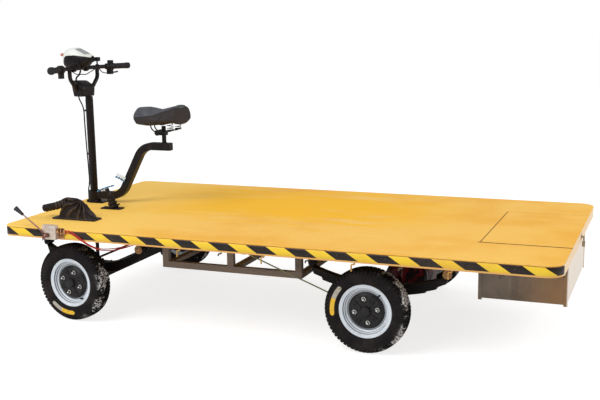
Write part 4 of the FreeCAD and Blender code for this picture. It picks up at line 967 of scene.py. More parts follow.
pod_black = worn_paint("pod_shell_plastic", tint(24, 20, 21), tint(50, 40, 38), patch=11.0,
                       cover=(0.5, 0.78), grain=700.0, rough=(0.3, 0.5), relief=0.1, gloss=0.2)
hood_faces = grid_faces(len(stations), 61)
pod_hood = mesh_piece("pod_hood", turned_with_bar(hood_points.reshape(-1, 3)), hood_faces, hood_plastic())
store_values(pod_hood, "from_edge", from_edge)
hood_wall = pod_hood.modifiers.new("wall", "SOLIDIFY")
hood_wall.thickness, hood_wall.offset = 0.0022, -1.0
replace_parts(pod_hood, "pod_cover")
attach(soften(pod_hood, 45.0), "steering")

whole = np.full(len(stations), -math.pi)
shell_points = pod_surface(stations, whole, whole + 2 * math.pi, 73, 0.0032)[:, :-1]
bar_x, bar_z = 1.523, 1.462
clamp_profile = [(-0.012, 0.0136), (-0.012, 0.0205), (-0.0105, 0.022), (0.0105, 0.022), (0.012, 0.0205),
                 (0.012, 0.0136)]
clamps = [turned_surface(clamp_profile, (bar_x, clamp_y, bar_z), (0, 1, 0), 28)
          for clamp_y in (0.088, -0.022)]
clamp_feet = [rounded_block((bar_x, foot_y, 1.482), (0.020, 0.015, 0.020)) for foot_y in (0.058, -0.022)]
heel_block = rounded_block((column_x - 0.034, 0.0, 1.517), (0.016, 0.021, 0.0165))
shell = (shell_points.reshape(-1, 3), grid_faces(len(stations), 72, False, True))
shell_points, shell_faces = joined([shell, heel_block] + clamps + clamp_feet)
pod_shell = mesh_piece("pod_shell", turned_with_bar(shell_points), shell_faces, pod_black)
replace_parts(pod_shell, "pod_housing")
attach(soften(pod_shell, 40.0), "steering")

lamp_points, lamp_faces = turned_surface([(-0.010, 0.0), (-0.010, 0.0095), (0.002, 0.0098), (0.008, 0.0085),
                                          (0.012, 0.0055), (0.0135, 0.0)], (column_x + 0.168, 0.050, 1.548),
                                         (0.45, 0.89, 0), 24)
pod_lamp = mesh_piece("pod_indicator_lamp", turned_with_bar(lamp_points), lamp_faces,
                      worn_paint("lamp_red_lens", tint(196, 120, 104), tint(150, 92, 82), patch=60.0,
                                 rough=(0.15, 0.3), relief=0.05, gloss=0.5))
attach(pod_lamp, "steering")


# Control box on top of the shaft: a round-cornered moulding with a lid that slopes to the right.
box_middle_x, box_half_x, box_middle_y, box_half_y = 1.532, 0.054, 0.005, 0.065


def control_box_surface():
    """Rounded plan rings stacked by height, drawn in at the foot, at the lid's seam and over the crown,
    whose height falls towards the right side."""
    height = np.array([1.2805, 1.2805, 1.2830, 1.3300, 1.3440, 1.3452, 1.3468, 1.3480, 1.3660, 1.3760,
                       1.3805, 1.3822, 1.3826])[:, None]
    inset = np.array([0.080, 0.0050, 0.0020, 0.0000, 0.0000, 0.0032, 0.0032, -0.0012, -0.0008, 0.0040,
                      0.0120, 0.0300, 0.0800])[:, None]
    turn = np.linspace(0, 2 * math.pi, 96, endpoint=False)[None, :]
    across_x = np.maximum(box_half_x - inset, 0.0) * signed_power(np.cos(turn), 0.42)
    across_y = np.maximum(box_half_y - inset, 0.0) * signed_power(np.sin(turn), 0.42)
    lean = 0.50 * np.minimum(across_x - 0.012, 0) + 0.06 * across_y
    slope = np.clip((height - 1.300) / 0.050, 0, 1) * lean
    draft = 1 - 0.40 * (across_x > 0) * np.clip((1.366 - height) / 0.086, 0, 1)
    points = np.stack([box_middle_x + across_x * draft, box_middle_y + across_y, height + slope], axis=-1)
    return points.reshape(-1, 3), grid_faces(len(height), turn.size, False, True)


box_points, box_faces = control_box_surface()
control_box = mesh_piece("control_box", turned_with_bar(box_points), box_faces[:, ::-1], box_plastic)
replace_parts(control_box, "top_box")
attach(soften(control_box, 38.0), "steering")


# Moulded rubber grips: fine rings along the hand and a thick rounded end.
def ringed_grip(side, flare):
    """A tube along the bar's swept end: its radius follows the hand shape, with rings of a raised cosine,
    and closes in a rounded end."""
    start = np.array([1.453, side * 0.350, bar_z])
    inward = np.array([bar_x, side * 0.150, bar_z]) - start
    inward /= np.linalg.norm(inward)
    along = np.linspace(0.016, 0.110, 190)
    ring_rise, ring_pitch = 0.0007, 0.0048
    rings = ring_rise * (0.5 + 0.5 * np.cos(2 * math.pi * along / ring_pitch)) ** 2
    taper = np.interp(along, [0.016, 0.036, 0.100, 0.110], [flare - 0.0006, 0.0188, 0.0186, 0.0196])
    hand = np.stack([along, taper + rings - 0.0005], axis=1)
    end = [(-0.0088, 0.0), (-0.0088, flare * 0.45), (-0.0082, flare * 0.72), (-0.0064, flare * 0.88),
           (-0.0030, flare * 0.97), (0.002, flare), (0.0145, flare)]
    outline = np.concatenate([end, hand, [(0.1118, 0.0192), (0.1120, 0.0130)]])
    return turned_surface(outline, start, inward, 44)


grip_rubber = worn_paint("grip_rubber", tint(36, 34, 37), tint(62, 59, 61), patch=50.0, cover=(0.5, 0.8),
                         grain=800.0, rough=(0.5, 0.7), relief=0.2, gloss=0.25)
grip_points, grip_faces = joined([ringed_grip(1, 0.0245), ringed_grip(-1, 0.0205)])
grips = mesh_piece("ringed_grips", turned_with_bar(grip_points), grip_faces, grip_rubber)
soften(grips, 60.0)
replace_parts(grips, "grips")
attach(grips, "steering")


# ---- Column cable ---------------------------------------------------------------------------
# The control cable leaves the box's underside, comes in to the column, is held by three clips,
# and goes into the deck in front of the flange.
def smooth_path(points, count):
    """A curve through the points: cubic pieces whose slope at each point joins its neighbours."""
    points = np.array(points, float)
    length = np.concatenate([[0], np.cumsum(np.linalg.norm(np.diff(points, axis=0), axis=1))])
    slope = np.gradient(points, length, axis=0)
    at = np.linspace(0, length[-1], count)
    k = np.clip(np.searchsorted(length, at) - 1, 0, len(points) - 2)
    span = (length[k + 1] - length[k])[:, None]
    t = ((at - length[k]) / span[:, 0])[:, None]
    return ((2 * t ** 3 - 3 * t ** 2 + 1) * points[k] + (t ** 3 - 2 * t ** 2 + t) * span * slope[k]
            + (3 * t ** 2 - 2 * t ** 3) * points[k + 1] + (t ** 3 - t ** 2) * span * slope[k + 1])


def tube_along(path, radius, count=12, hint=(0.0, 1.0, 0.02)):
    """A round tube: rings of the radius at right angles to the path, the first kept towards the hint."""
    path = np.asarray(path, float)
    way = np.gradient(path, axis=0)
    way /= np.linalg.norm(way, axis=1)[:, None]
    first = np.cross(way, np.array(hint, float))
    first /= np.linalg.norm(first, axis=1)[:, None]
    second = np.cross(way, first)
    angle = np.linspace(0, 2 * math.pi, count, endpoint=False)
    radius = np.broadcast_to(radius, len(path))[:, None, None]
    ring = np.cos(angle)[None, :, None] * first[:, None] + np.sin(angle)[None, :, None] * second[:, None]
    points = (path[:, None] + radius * ring).reshape(-1, 3)
    faces = [list(face) for face in grid_faces(len(path), count, False, True)]
    last = (len(path) - 1) * count
    faces += [list(range(count))[::-1], list(range(last, last + count))]
    return points, faces


cable_path = smooth_path([(1.566, 0.0, 1.2800), (1.564, 0.0, 1.264), (1.551, 0.0, 1.238),
                          (1.539, 0.0, 1.212), (1.533, 0.0, 1.180), (1.532, 0.0, 1.12), (1.5275, 0.0, 0.95),
                          (1.522, 0.0, 0.80), (1.522, 0.0, 0.705), (1.5265, 0.0, 0.680),
                          (1.5312, 0.0, 0.660), (1.5322, 0.0, 0.635), (1.5322, 0.0, 0.610),
                          (1.5322, 0.0, 0.5900)], 150)
column_cable = mesh_piece("column_cable_sheath", *tube_along(cable_path, 0.0042), lead_rubber)
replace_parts(column_cable, "column_cable")
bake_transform(column_cable)
clip_profile = [(-0.006, 0.0040), (-0.006, 0.0052), (0.006, 0.0052), (0.006, 0.0040)]
clip_bands = [turned_surface(clip_profile, (1.522, 0.0, clip_z), (0, 0, 1), 20, True)
              for clip_z in (1.186, 0.900, 0.700)]
cable_clips = mesh_piece("column_cable_clips", *joined(clip_bands), grip_rubber)
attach(soften(cable_clips, 30.0), "chassis")


# ---- Wrap film round the column foot ----------------------------------------------------------
# Torn strips of the thin blue and white polythene that the cart was wrapped in for delivery. They are
# still caught under the column's collar and at the bend of the seat tube.
def torn_strip(points, width, name, material, steps=36):
    """A narrow film strip: the path carried sideways by its width, its edge waved by two sines."""
    path = smooth_path(points, steps)
    way = np.gradient(path, axis=0)
    way /= np.linalg.norm(way, axis=1)[:, None]
    side = np.cross(way, [0.2, 0.9, 0.3])
    side /= np.linalg.norm(side, axis=1)[:, None]
    share = np.linspace(0, 1, steps)[:, None]
    ragged = width * (1 + 0.25 * np.sin(23 * share) + 0.15 * np.sin(61 * share))
    across = np.linspace(-0.5, 0.5, 5)
    points = path[:, None] + across[None, :, None] * ragged[:, None] * side[:, None]
    strip = mesh_piece(name, points.reshape(-1, 3), grid_faces(steps, 5), material)
    thick = strip.modifiers.new("film_thickness", "SOLIDIFY")
    thick.thickness = 0.0005
    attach(strip, "chassis")


film_blue = worn_paint("wrap_film_blue", tint(28, 94, 140), tint(120, 168, 196), patch=60.0,
                       cover=(0.5, 0.65), rough=(0.2, 0.4))
film_white = worn_paint("wrap_film_white", tint(226, 232, 236), tint(160, 196, 214), patch=60.0,
                        cover=(0.55, 0.7), rough=(0.2, 0.4))
torn_strip([(1.442, 0.036, 0.657), (1.402, 0.037, 0.675), (1.362, 0.035, 0.689), (1.310, 0.034, 0.704)],
           0.009, "wrap_film_collar", film_blue)
torn_strip([(1.412, 0.034, 0.664), (1.392, 0.036, 0.672), (1.372, 0.036, 0.678)], 0.012, "wrap_film_scrap",
           film_white)
torn_strip([(1.226, 0.033, 0.748), (1.244, 0.036, 0.762), (1.262, 0.038, 0.772), (1.284, 0.037, 0.780)],
           0.020, "wrap_film_bend", film_white)
torn_strip([(1.230, 0.033, 0.732), (1.254, 0.037, 0.748), (1.276, 0.038, 0.757), (1.296, 0.037, 0.762)],
           0.012, "wrap_film_bend_blue", film_blue)


# ---- Saddle ---------------------------------------------------------------------------------
# A thick sprung saddle on foam: a smooth vinyl top, sewn to grained vinyl sides that come up high
# at the back, with one seam down each side. The cover is swelled by pressure, then the seams drawn in.
def merged_copy(node, name):
    """The node's own mesh as a new object, its doubled points merged."""
    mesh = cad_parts[node].data.copy()
    mesh.name = name
    work = bmesh.new()
    work.from_mesh(mesh)
    bmesh.ops.remove_doubles(work, verts=work.verts, dist=1e-5)
    work.to_mesh(mesh)
    work.free()
    piece = bpy.data.objects.new(name, mesh)
    bpy.context.scene.collection.objects.link(piece)
    return piece


def settle(piece):
    """Puts the result of the piece's modifiers into its mesh and takes them off."""
    graph = bpy.context.evaluated_depsgraph_get()
    graph.update()
    mesh = bpy.data.meshes.new_from_object(piece.evaluated_get(graph))
    piece.modifiers.clear()
    piece.data = mesh


def mesh_points(piece):
    """The mesh's points as rows of three numbers."""
    points = np.empty(len(piece.data.vertices) * 3)
    piece.data.vertices.foreach_get("co", points)
    return points.reshape(-1, 3)


def move_points(piece, points):
    """Puts the mesh's points where these rows say."""
    piece.data.vertices.foreach_set("co", np.ascontiguousarray(points).ravel())
    piece.data.update()


def ramp(value, low, high):
    """0 below low, 1 above high, smooth between."""
    share = np.clip((value - low) / (high - low), 0, 1)
    return share * share * (3 - 2 * share)


def swell(piece, inset, pressure, cap, held):
    """Shrinks the piece by inset along its normals, blows it up as cloth with the points in held kept
    still, and lets no point end further than cap from its start."""
    start = mesh_points(piece)
    normals = np.empty(len(start) * 3)
    piece.data.vertices.foreach_get("normal", normals)
    inner = start - inset * normals.reshape(-1, 3)
    move_points(piece, inner)
    pinned = piece.vertex_groups.new(name="held")
    pinned.add([int(k) for k in np.nonzero(held(start))[0]], 1.0, "REPLACE")
    cloth = piece.modifiers.new("swell", "CLOTH")
    cloth.settings.vertex_group_mass = "held"
    cloth.settings.use_pressure = True
    cloth.settings.uniform_pressure_force = pressure
    cloth.settings.effector_weights.gravity = 0.0
    for moment in range(1, 21):
        bpy.context.scene.frame_set(moment)
    settle(piece)
    bpy.context.scene.frame_set(1)
    piece.vertex_groups.clear()
    move = mesh_points(piece) - inner
    size = np.linalg.norm(move, axis=1)
    move *= (np.minimum(size, cap) / np.maximum(size, 1e-9))[:, None]
    move_points(piece, inner + move)


def on_base(points):
    """Which points lie against the saddle's base pan: all below a line that falls towards the nose."""
    return points[:, 2] < 1.150 - 0.0385 * ramp(points[:, 0], 0.86, 1.05)


saddle = merged_copy("saddle", "swelled_saddle")
voxels = saddle.modifiers.new("even_cover", "REMESH")
voxels.mode, voxels.voxel_size = "VOXEL", 0.0045
settle(saddle)
swell(saddle, inset=0.0040, pressure=4.0, cap=0.0055, held=on_base)
finer = saddle.modifiers.new("finer_cover", "SUBSURF")
finer.levels = finer.render_levels = 1
settle(saddle)

# The back is squared off and leans out below, the middle dips, and the seams pull in.
cover = mesh_points(saddle)
x, y, z = cover.T.copy()
rear, rear_middle = 1 - ramp(x, 0.797, 0.835), 1.174
cover[:, 2] = rear_middle + (z - rear_middle) * (1 + 0.34 * rear * (z < rear_middle)) - 0.003 * rear
cover[:, 1] *= 1 + 0.16 * rear
back_face = 0.8045 + 0.16 * (z - 1.176)
cover[:, 0] = np.where(x < back_face, back_face + 0.30 * (x - back_face), x)
cover[:, 2] -= 0.006 * (1 - ramp(x, 0.80, 0.90)) * (1 - ramp(z, 1.13, 1.19))
cover[:, 2] -= 0.0065 * np.exp(-((x - 0.948) / 0.050) ** 2) * ramp(z, 1.15, 1.20)
cover[:, 2] += 0.0085 * np.exp(-((x - 0.817) / 0.019) ** 2) * ramp(z, 1.18, 1.21)
x, y, z = cover.T.copy()
seam_height = np.interp(x, [0.790, 0.825, 0.870, 0.932, 0.991, 1.060, 1.108, 1.150],
                        [1.2265, 1.2225, 1.206, 1.186, 1.168, 1.159, 1.156, 1.150])
above_seam = z - seam_height + 0.16 * (0.080 - np.minimum(np.abs(y), 0.080)) * (1 - ramp(x, 0.80, 0.85))
side_seam = x - np.interp(z, [1.100, 1.118, 1.160, 1.215], [0.951, 0.949, 0.912, 0.872])
on_side = (above_seam < 0) & (np.abs(y) > 0.03)
groove = np.exp(-(above_seam / 0.0024) ** 2) + np.where(on_side, np.exp(-(side_seam / 0.0030) ** 2), 0)
swollen_edge = np.exp(-((above_seam - 0.0065) / 0.004) ** 2)
saddle_mid = np.array([0.96, 0.0, 1.155])
outward = cover - saddle_mid
outward[:, 0] *= 0.25
outward /= np.linalg.norm(outward, axis=1)[:, None]
cover += outward * (0.0016 * swollen_edge - 0.0028 * np.minimum(groove, 1.0))[:, None]
move_points(saddle, cover)
store_values(saddle, "above_seam", above_seam * 1000.0)
store_values(saddle, "side_seam", np.where(on_side, np.abs(side_seam), 0.05) * 1000.0)


def saddle_vinyl():
    """Smooth vinyl above the seam, its lighter slate tone a painted sheen, pebbled brown-black vinyl below
    it, dark in the seams.
    """
    material, tree, output = new_material("saddle_vinyl")
    where = object_place(tree)
    rise, aside = point_value(tree, "above_seam"), point_value(tree, "side_seam")
    pebble = tree.nodes.new("ShaderNodeTexVoronoi")
    pebble.inputs["Scale"].default_value = 520.0
    tree.links.new(where, pebble.inputs["Vector"])
    clouds = noise_field(tree, where, 16.0, 4.0, 0.6)
    specks = noise_field(tree, where, 700.0, 2.0, 0.7)
    # Painted sheen: the smooth top is a lighter slate grey than the sides.
    top = fading(tree, clouds, 0.4, 0.7, tint(80, 82, 89), tint(64, 65, 73))
    sides = fading(tree, specks, 0.5, 0.75, tint(44, 38, 38), tint(76, 68, 66))
    on_top = step_between(tree, rise, -0.4, 0.4)
    colour = blend_colours(tree, on_top, sides, top)
    near = maths(tree, "MINIMUM", maths(tree, "ABSOLUTE", rise), aside)
    colour = fading(tree, near, 0.6, 2.4, colour, tint(16, 13, 14), 0.9, 0.0)
    rough = maths(tree, "SUBTRACT", 0.60, maths(tree, "MULTIPLY", on_top, 0.16))
    grain = maths(tree, "MULTIPLY", pebble.outputs["Distance"], maths(tree, "SUBTRACT", 1.25, on_top))
    finish_surface(tree, output, colour, rough, grain, 0.35, gloss=0.3)
    return material


saddle.data.materials.clear()
saddle.data.materials.append(saddle_vinyl())
saddle.data.shade_smooth()
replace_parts(saddle, "saddle")
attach(saddle, "chassis")


# ---- Saddle carrier and springs ---------------------------------------------------------------
# Black spring steel wires are bent cold and run from the clamp on the seat post up to the nose and
# back to two coil springs, which stand in pressed cups under the rear.
def coil(centre, radius, wire, low, high, turns, count=26):
    """A helix: the angle grows evenly while the height goes from low to high, flat over each end turn."""
    share = np.linspace(0, 1, int(turns * count))
    angle = 2 * math.pi * turns * share
    height = low + (high - low) * (share - 0.32 * np.sin(2 * math.pi * share) / (2 * math.pi))
    path = np.stack([centre[0] + radius * np.cos(angle), centre[1] + radius * np.sin(angle), height],
                    axis=1)
    return tube_along(path, wire, 10, hint=(0.0, 0.0, 1.0))


def flat_plate(low, high):
    """A straight-sided plate between two opposite corners: its foot ring of four points, then its top."""
    corners = np.array([(x, y, level) for level in (0, 1) for x, y in ((0, 0), (1, 0), (1, 1), (0, 1))])
    sides = [(0, 3, 2, 1), (4, 5, 6, 7), (0, 1, 5, 4), (1, 2, 6, 5), (2, 3, 7, 6), (3, 0, 4, 7)]
    return np.where(corners, high, low), sides


spring_x, spring_y = 0.867, 0.052
lower_cup = [(-0.0050, 0.0), (-0.0050, 0.0140), (-0.0035, 0.0220), (-0.0010, 0.0225), (-0.0010, 0.0175),
             (0.0040, 0.0165), (0.0040, 0.0)]
upper_cup = [(0.0, 0.0), (0.0, 0.0215), (0.0022, 0.0220), (0.0022, 0.0)]
lower_wire = [(spring_x, spring_y, 1.072), (0.890, 0.046, 1.069), (0.920, 0.030, 1.062),
              (0.950, 0.023, 1.060), (0.982, 0.022, 1.061), (1.004, 0.022, 1.068), (1.019, 0.023, 1.084),
              (1.025, 0.024, 1.113)]
upper_wire = [(spring_x, 0.033, 1.132), (0.905, 0.031, 1.116), (0.940, 0.031, 1.108), (0.965, 0.034, 1.112)]
carrier = []
for far in (1, -1):
    carrier.append(coil((spring_x, spring_y * far), radius=0.0195, wire=0.0021, low=1.0800, high=1.1345,
                        turns=4.0))
    carrier.append(turned_surface(lower_cup, (spring_x, spring_y * far, 1.0785), (0, 0, 1), 32))
    carrier.append(turned_surface(upper_cup, (spring_x, spring_y * far, 1.1350), (0, 0, 1), 32))
    for path, thick in ((lower_wire, 0.0042), (upper_wire, 0.0026)):
        carrier.append(tube_along(smooth_path(np.array(path) * [1, far, 1], 48), thick, 12))
clamp_plates = [flat_plate((0.929, -0.036, z_low), (0.983, 0.036, z_high))
                for z_low, z_high in ((1.0570, 1.0595), (1.0640, 1.0668))]
bolt_profile = [(0.0, 0.0), (0.0, 0.0065), (0.0050, 0.0065), (0.0060, 0.0055), (0.0060, 0.0)]
for bolt_x in (0.937, 0.976):
    clamp_plates.append(turned_surface(bolt_profile, (bolt_x, 0.0, 1.0668), (0, 0, 1), 6))
spring_wire = worn_paint("carrier_wire_black", tint(28, 24, 24), tint(62, 46, 40), patch=60.0,
                         cover=(0.5, 0.75), rough=(0.3, 0.5))
saddle_carrier = mesh_piece("saddle_carrier", *joined(carrier + clamp_plates), spring_wire)
soften(saddle_carrier, 38.0)
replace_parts(saddle_carrier, "saddle_springs")
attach(saddle_carrier, "chassis")


# ---- Seat tube plug and weld beads --------------------------------------------------------------
# A ribbed plug of black rubber is pushed into the tube's open end. The welds are rippled beads run
# round the seat post and the column's foot, and painted over with the frame.
def squared_plug(stations, y_half, z_mid, corner=0.0035, count=6):
    """Square rings with rounded corners: each station gives the place along the tube and the half size."""
    rings = []
    for along, size in stations:
        turns = [np.radians(np.linspace(a, a + 90, count)) for a in (0, 90, 180, 270)]
        centre = max(size - corner, 0.0)
        radius = min(corner, size)
        ring = [np.stack([np.sign(math.cos(turn.mean())) * centre + radius * np.cos(turn),
                          np.sign(math.sin(turn.mean())) * centre + radius * np.sin(turn)], 1)
                for turn in turns]
        ring = np.concatenate(ring)
        rings.append(np.column_stack([np.full(len(ring), along), ring[:, 0] * y_half, z_mid + ring[:, 1]]))
    return np.concatenate(rings), [face[::-1] for face in grid_faces(len(rings), 4 * count, False, True)]


plug = squared_plug([(0.9000, 0.0205), (0.8972, 0.0205), (0.8972, 0.0236), (0.8950, 0.0240),
                     (0.8938, 0.0228), (0.8938, 0.0150), (0.8950, 0.0140), (0.8950, 0.0001)], 0.92, 0.967)
tube_plug = mesh_piece("seat_tube_plug", *plug, grip_rubber)
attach(soften(tube_plug, 35.0), "chassis")


def beaded_ring(centre, radius, bead, waves, name):
    """A weld round an upright tube: a ring whose small round section swells and shrinks as a cosine."""
    around = np.linspace(0, 2 * math.pi, waves * 6, endpoint=False)[:, None]
    section = np.linspace(0, 2 * math.pi, 10, endpoint=False)[None]
    size = bead * (1 + 0.16 * np.cos(waves * around))
    reach = radius + size * np.cos(section)
    points = np.stack([reach * np.cos(around), reach * np.sin(around), size * np.sin(section)],
                      axis=-1) + centre
    bead_piece = mesh_piece(name, points.reshape(-1, 3), grid_faces(len(around), 10, True, True), enamel)
    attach(bead_piece, "chassis")


beaded_ring((0.943, 0.0, 0.9915), radius=0.0150, bead=0.0024, waves=24, name="seat_post_weld")
beaded_ring((column_x, 0.0, 0.5925), radius=0.0405, bead=0.0028, waves=44, name="column_foot_weld")


# ---- Parking brake: leather boot ---------------------------------------------------------------
# A soft leather boot sewn to a hem strip on the base plate. It is gathered round the lever, so
# folds fan out from there over both sides, and a short sleeve of it runs on along the lever.
brake_y, fan_x, fan_z, fold_count = 0.541, 1.218, 0.706, 13.0


def boot_surface(rows=84, columns=264):
    """Rounded outlines between foot and top, pushed in and out by folds that fan out from the lever:
    the fold follows the angle seen from a point over the bend, deepest halfway down."""
    rise = np.array([0.0, 0.006, 0.034, 0.078, 0.104, 0.116, 0.1225, 0.1245])
    back = np.array([1.1160, 1.1225, 1.1500, 1.1880, 1.2200, 1.2360, 1.2560, 1.2790])
    ahead = np.array([1.3880, 1.3820, 1.3660, 1.3560, 1.3500, 1.3440, 1.3240, 1.2850])
    half = np.array([0.0390, 0.0365, 0.0335, 0.0285, 0.0250, 0.0205, 0.0120, 0.0005])
    share = np.concatenate([np.linspace(0, 1, rows - 20) ** 0.9 * 0.88, np.linspace(0.88, 1.0, 21)[1:]])
    knots = np.linspace(0, 1, len(rise))
    at = np.interp(share * rise[-1], rise, knots)
    x0, x1, wide, height = (np.interp(at, knots, row)[:, None] for row in (back, ahead, half, rise))
    angle = np.linspace(0, 2 * math.pi, columns, endpoint=False)[None]
    out_x, out_y = signed_power(np.cos(angle), 2 / 2.7), signed_power(np.sin(angle), 2 / 2.7)
    x = (x0 + x1) / 2 + (x1 - x0) / 2 * out_x
    y = wide * out_y
    z = plate_top + height + 0 * x
    fan = np.arctan2(z - fan_z, x - fan_x)
    reach = np.hypot(z - fan_z, x - fan_x)
    side = np.where(y > 0, 0.0, 2.1)
    wave = fold_count * fan + 1.3 * np.sin(3.0 * fan + side) + side + 1.2 * np.sin(reach * 46.0 + side)
    fold = 1 - np.abs(np.sin(wave / 2)) ** 1.3
    minor = 0.5 + 0.5 * np.sin(31.0 * fan + 70.0 * reach + 1.7 * side)
    deep = 0.0016 + 0.0104 * ramp(height, 0.002, 0.030) * (1 - ramp(height, 0.105, 0.124))
    deep = deep * ramp(reach, 0.004, 0.030)
    hem_swell = 0.0035 * np.exp(-((height - 0.026) / 0.014) ** 2)
    push = deep * (fold - 0.62) + 0.28 * deep * (minor - 0.5) + hem_swell
    norm = np.hypot(out_x / 1.8, out_y) + 1e-6
    x = x + push * out_x / 1.8 / norm
    y = y + push * out_y / norm
    z = z + 0.004 * (fold - 0.5) * ramp(height, 0.09, 0.122)
    points = np.stack([x, y + brake_y, z], axis=-1)
    return points.reshape(-1, 3), grid_faces(rows, columns, False, True), fold.ravel()


def boot_sleeve(rows=40, columns=72):
    """The end of the boot gathered along the lever: rings round the lever's line, whose radius ripples as a
    sine along it, closed by a smaller ring inside the last."""
    line = smooth_path([(1.318, brake_y, 0.6845), (1.345, brake_y, 0.6785), (1.376, brake_y, 0.6665),
                        (1.398, brake_y, 0.6607)], rows)
    share = np.linspace(0, 1, rows)[:, None]
    angle = np.linspace(0, 2 * math.pi, columns, endpoint=False)[None]
    gather = np.cos(9 * angle + 2.0 * np.sin(5.0 * share) + 0.8)
    ripple = np.sin(21.0 * share + 1.5 * np.cos(angle))
    radius = 0.0262 - 0.0030 * share + 0.0017 * ripple + 0.0010 * gather
    radius = radius * np.where(share > 0.94, 0.965, 1.0)
    way = np.gradient(line, axis=0)
    way /= np.linalg.norm(way, axis=1)[:, None]
    level = np.array([0, 1.0, 0])
    over = np.cross(way, level)
    points = (line[:, None] + (radius * np.cos(angle))[:, :, None] * level
              + (radius * np.sin(angle))[:, :, None] * over[:, None])
    inner = line[-1] + (points[-1] - line[-1]) * 0.80
    points = np.concatenate([points.reshape(-1, 3), inner])
    fold = np.concatenate([(0.5 + 0.5 * ripple).ravel(), np.zeros(columns)])
    return points, grid_faces(rows + 1, columns, False, True), fold


def boot_leather():
    """Brown-black leather, fine grained, with painted highlights where the folds stand up, which are also
    shinier.
    """
    material, tree, output = new_material("boot_leather")
    where = object_place(tree)
    grain = tree.nodes.new("ShaderNodeTexVoronoi")
    grain.inputs["Scale"].default_value = 420.0
    tree.links.new(where, grain.inputs["Vector"])
    clouds = noise_field(tree, where, 40.0, 4.0, 0.6)
    # Painted highlight: the fold ridges turn paler; they are also less rough.
    high = maths(tree, "MULTIPLY", step_between(tree, point_value(tree, "fold"), 0.45, 0.95),
                 step_between(tree, clouds, 0.3, 0.65))
    colour = blend_colours(tree, high, tint(30, 23, 22), tint(78, 64, 59))
    rough = maths(tree, "SUBTRACT", 0.58, maths(tree, "MULTIPLY", high, 0.16))
    creases = maths(tree, "ADD", grain.outputs["Distance"], maths(tree, "MULTIPLY", clouds, 1.6))
    finish_surface(tree, output, colour, rough, creases, 0.3, gloss=0.25)
    return material


body_points, body_faces, body_fold = boot_surface()
sleeve_points, sleeve_faces, sleeve_fold = boot_sleeve()
boot_points, boot_faces = joined([(body_points, body_faces), (sleeve_points, sleeve_faces)])
leather_boot = mesh_piece("leather_boot", boot_points, boot_faces, boot_leather())
store_values(leather_boot, "fold", np.concatenate([body_fold, sleeve_fold]))
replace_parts(leather_boot, "handbrake_boot")
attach(leather_boot, "chassis")


# The hem: a strip of the same leather, held down round the boot's foot on the screwed base plate.
def rounded_path(x0, x1, half, corner, z, count=12):
    """A closed outline with rounded corners round the brake's middle line."""
    pieces = []
    for sx, sy, start in ((1, 1, 0), (-1, 1, 90), (-1, -1, 180), (1, -1, 270)):
        angle = np.radians(np.linspace(start, start + 90, count))
        cx = (x1 - corner) if sx > 0 else (x0 + corner)
        cy = brake_y + sy * (half - corner)
        pieces.append(np.stack([cx + corner * np.cos(angle), cy + corner * np.sin(angle),
                                np.full(count, z)], axis=1))
    return np.concatenate(pieces)


hem_rows = [rounded_path(1.1110 + grow, 1.3930 - grow, 0.0415 - grow, 0.020, height) for grow, height in
            ((0.0, 0.5908), (0.0, 0.5930), (0.0012, 0.5942), (0.0065, 0.5942), (0.0080, 0.5925))]
hem_count = len(hem_rows[0])
boot_hem = mesh_piece("boot_hem", np.concatenate(hem_rows), grid_faces(5, hem_count, False, True),
                      worn_paint("hem_leather", tint(44, 35, 33), tint(78, 66, 60), patch=50.0, grain=900.0,
                                 rough=(0.45, 0.65)))
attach(soften(boot_hem, 50.0), "chassis")
screw_profile = [(0.0, 0.0), (0.0, 0.0052), (0.0008, 0.0052), (0.0030, 0.0038), (0.0034, 0.0018),
                 (0.0026, 0.0)]
plate_screws = [turned_surface(screw_profile, (screw_x, brake_y + across, plate_top), (0, 0, 1), 20)
                for screw_x in (1.1145, 1.4075) for across in (0.0335, -0.0335)]
brake_screws = mesh_piece("brake_plate_screws", *joined(plate_screws), hub_black)
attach(soften(brake_screws, 30.0), "chassis")
dress(worn_paint("brake_grip_plastic", tint(32, 26, 26), tint(66, 55, 51), patch=34.0, cover=(0.5, 0.8),
                 grain=600.0, rough=(0.35, 0.55), relief=0.15, gloss=0.25), "handbrake")


# The parking brake's grip: soft plastic pulled over the lever, with four finger waves on its underside.
def finger_grip(rows=110, columns=48):
    """Rings along the lever: the radius swells with a raised cosine every 25 mm on the underside, and a
    quarter ellipse closes the free end."""
    start, end = np.array([1.3880, brake_y, 0.6632]), np.array([1.4990, brake_y, 0.6368])
    length = np.linalg.norm(end - start)
    ahead = (end - start) / length
    upward = np.cross(ahead, [0, 1.0, 0])
    upward *= np.sign(upward[2])
    tip, wave_rise, wave_pitch = 0.010, 0.0040, 0.025
    along = np.concatenate([np.linspace(0, length - tip, rows - 20),
                            length - tip * (1 - np.sin(np.linspace(0, math.pi / 2, 21)[1:]))])[:, None]
    angle = np.linspace(0, 2 * math.pi, columns, endpoint=False)[None]
    under = np.maximum(0, -np.sin(angle)) ** 1.5
    closing = np.sqrt(np.clip(1 - (np.maximum(along - length + tip, 0) / tip) ** 2, 0, 1))
    waves = 0.5 + 0.5 * np.cos(2 * math.pi * (along - 0.016) / wave_pitch)
    radius = closing * (0.0220 + under * wave_rise * waves)
    points = (start + along[..., None] * ahead + (radius * np.cos(angle))[..., None] * np.array([0, 1.0, 0])
              + (radius * np.sin(angle))[..., None] * upward)
    return points.reshape(-1, 3), grid_faces(rows, columns, False, True)


lever_grip = mesh_piece("parking_lever_grip", *finger_grip(), lead_rubber)
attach(soften(lever_grip, 50.0), "chassis")


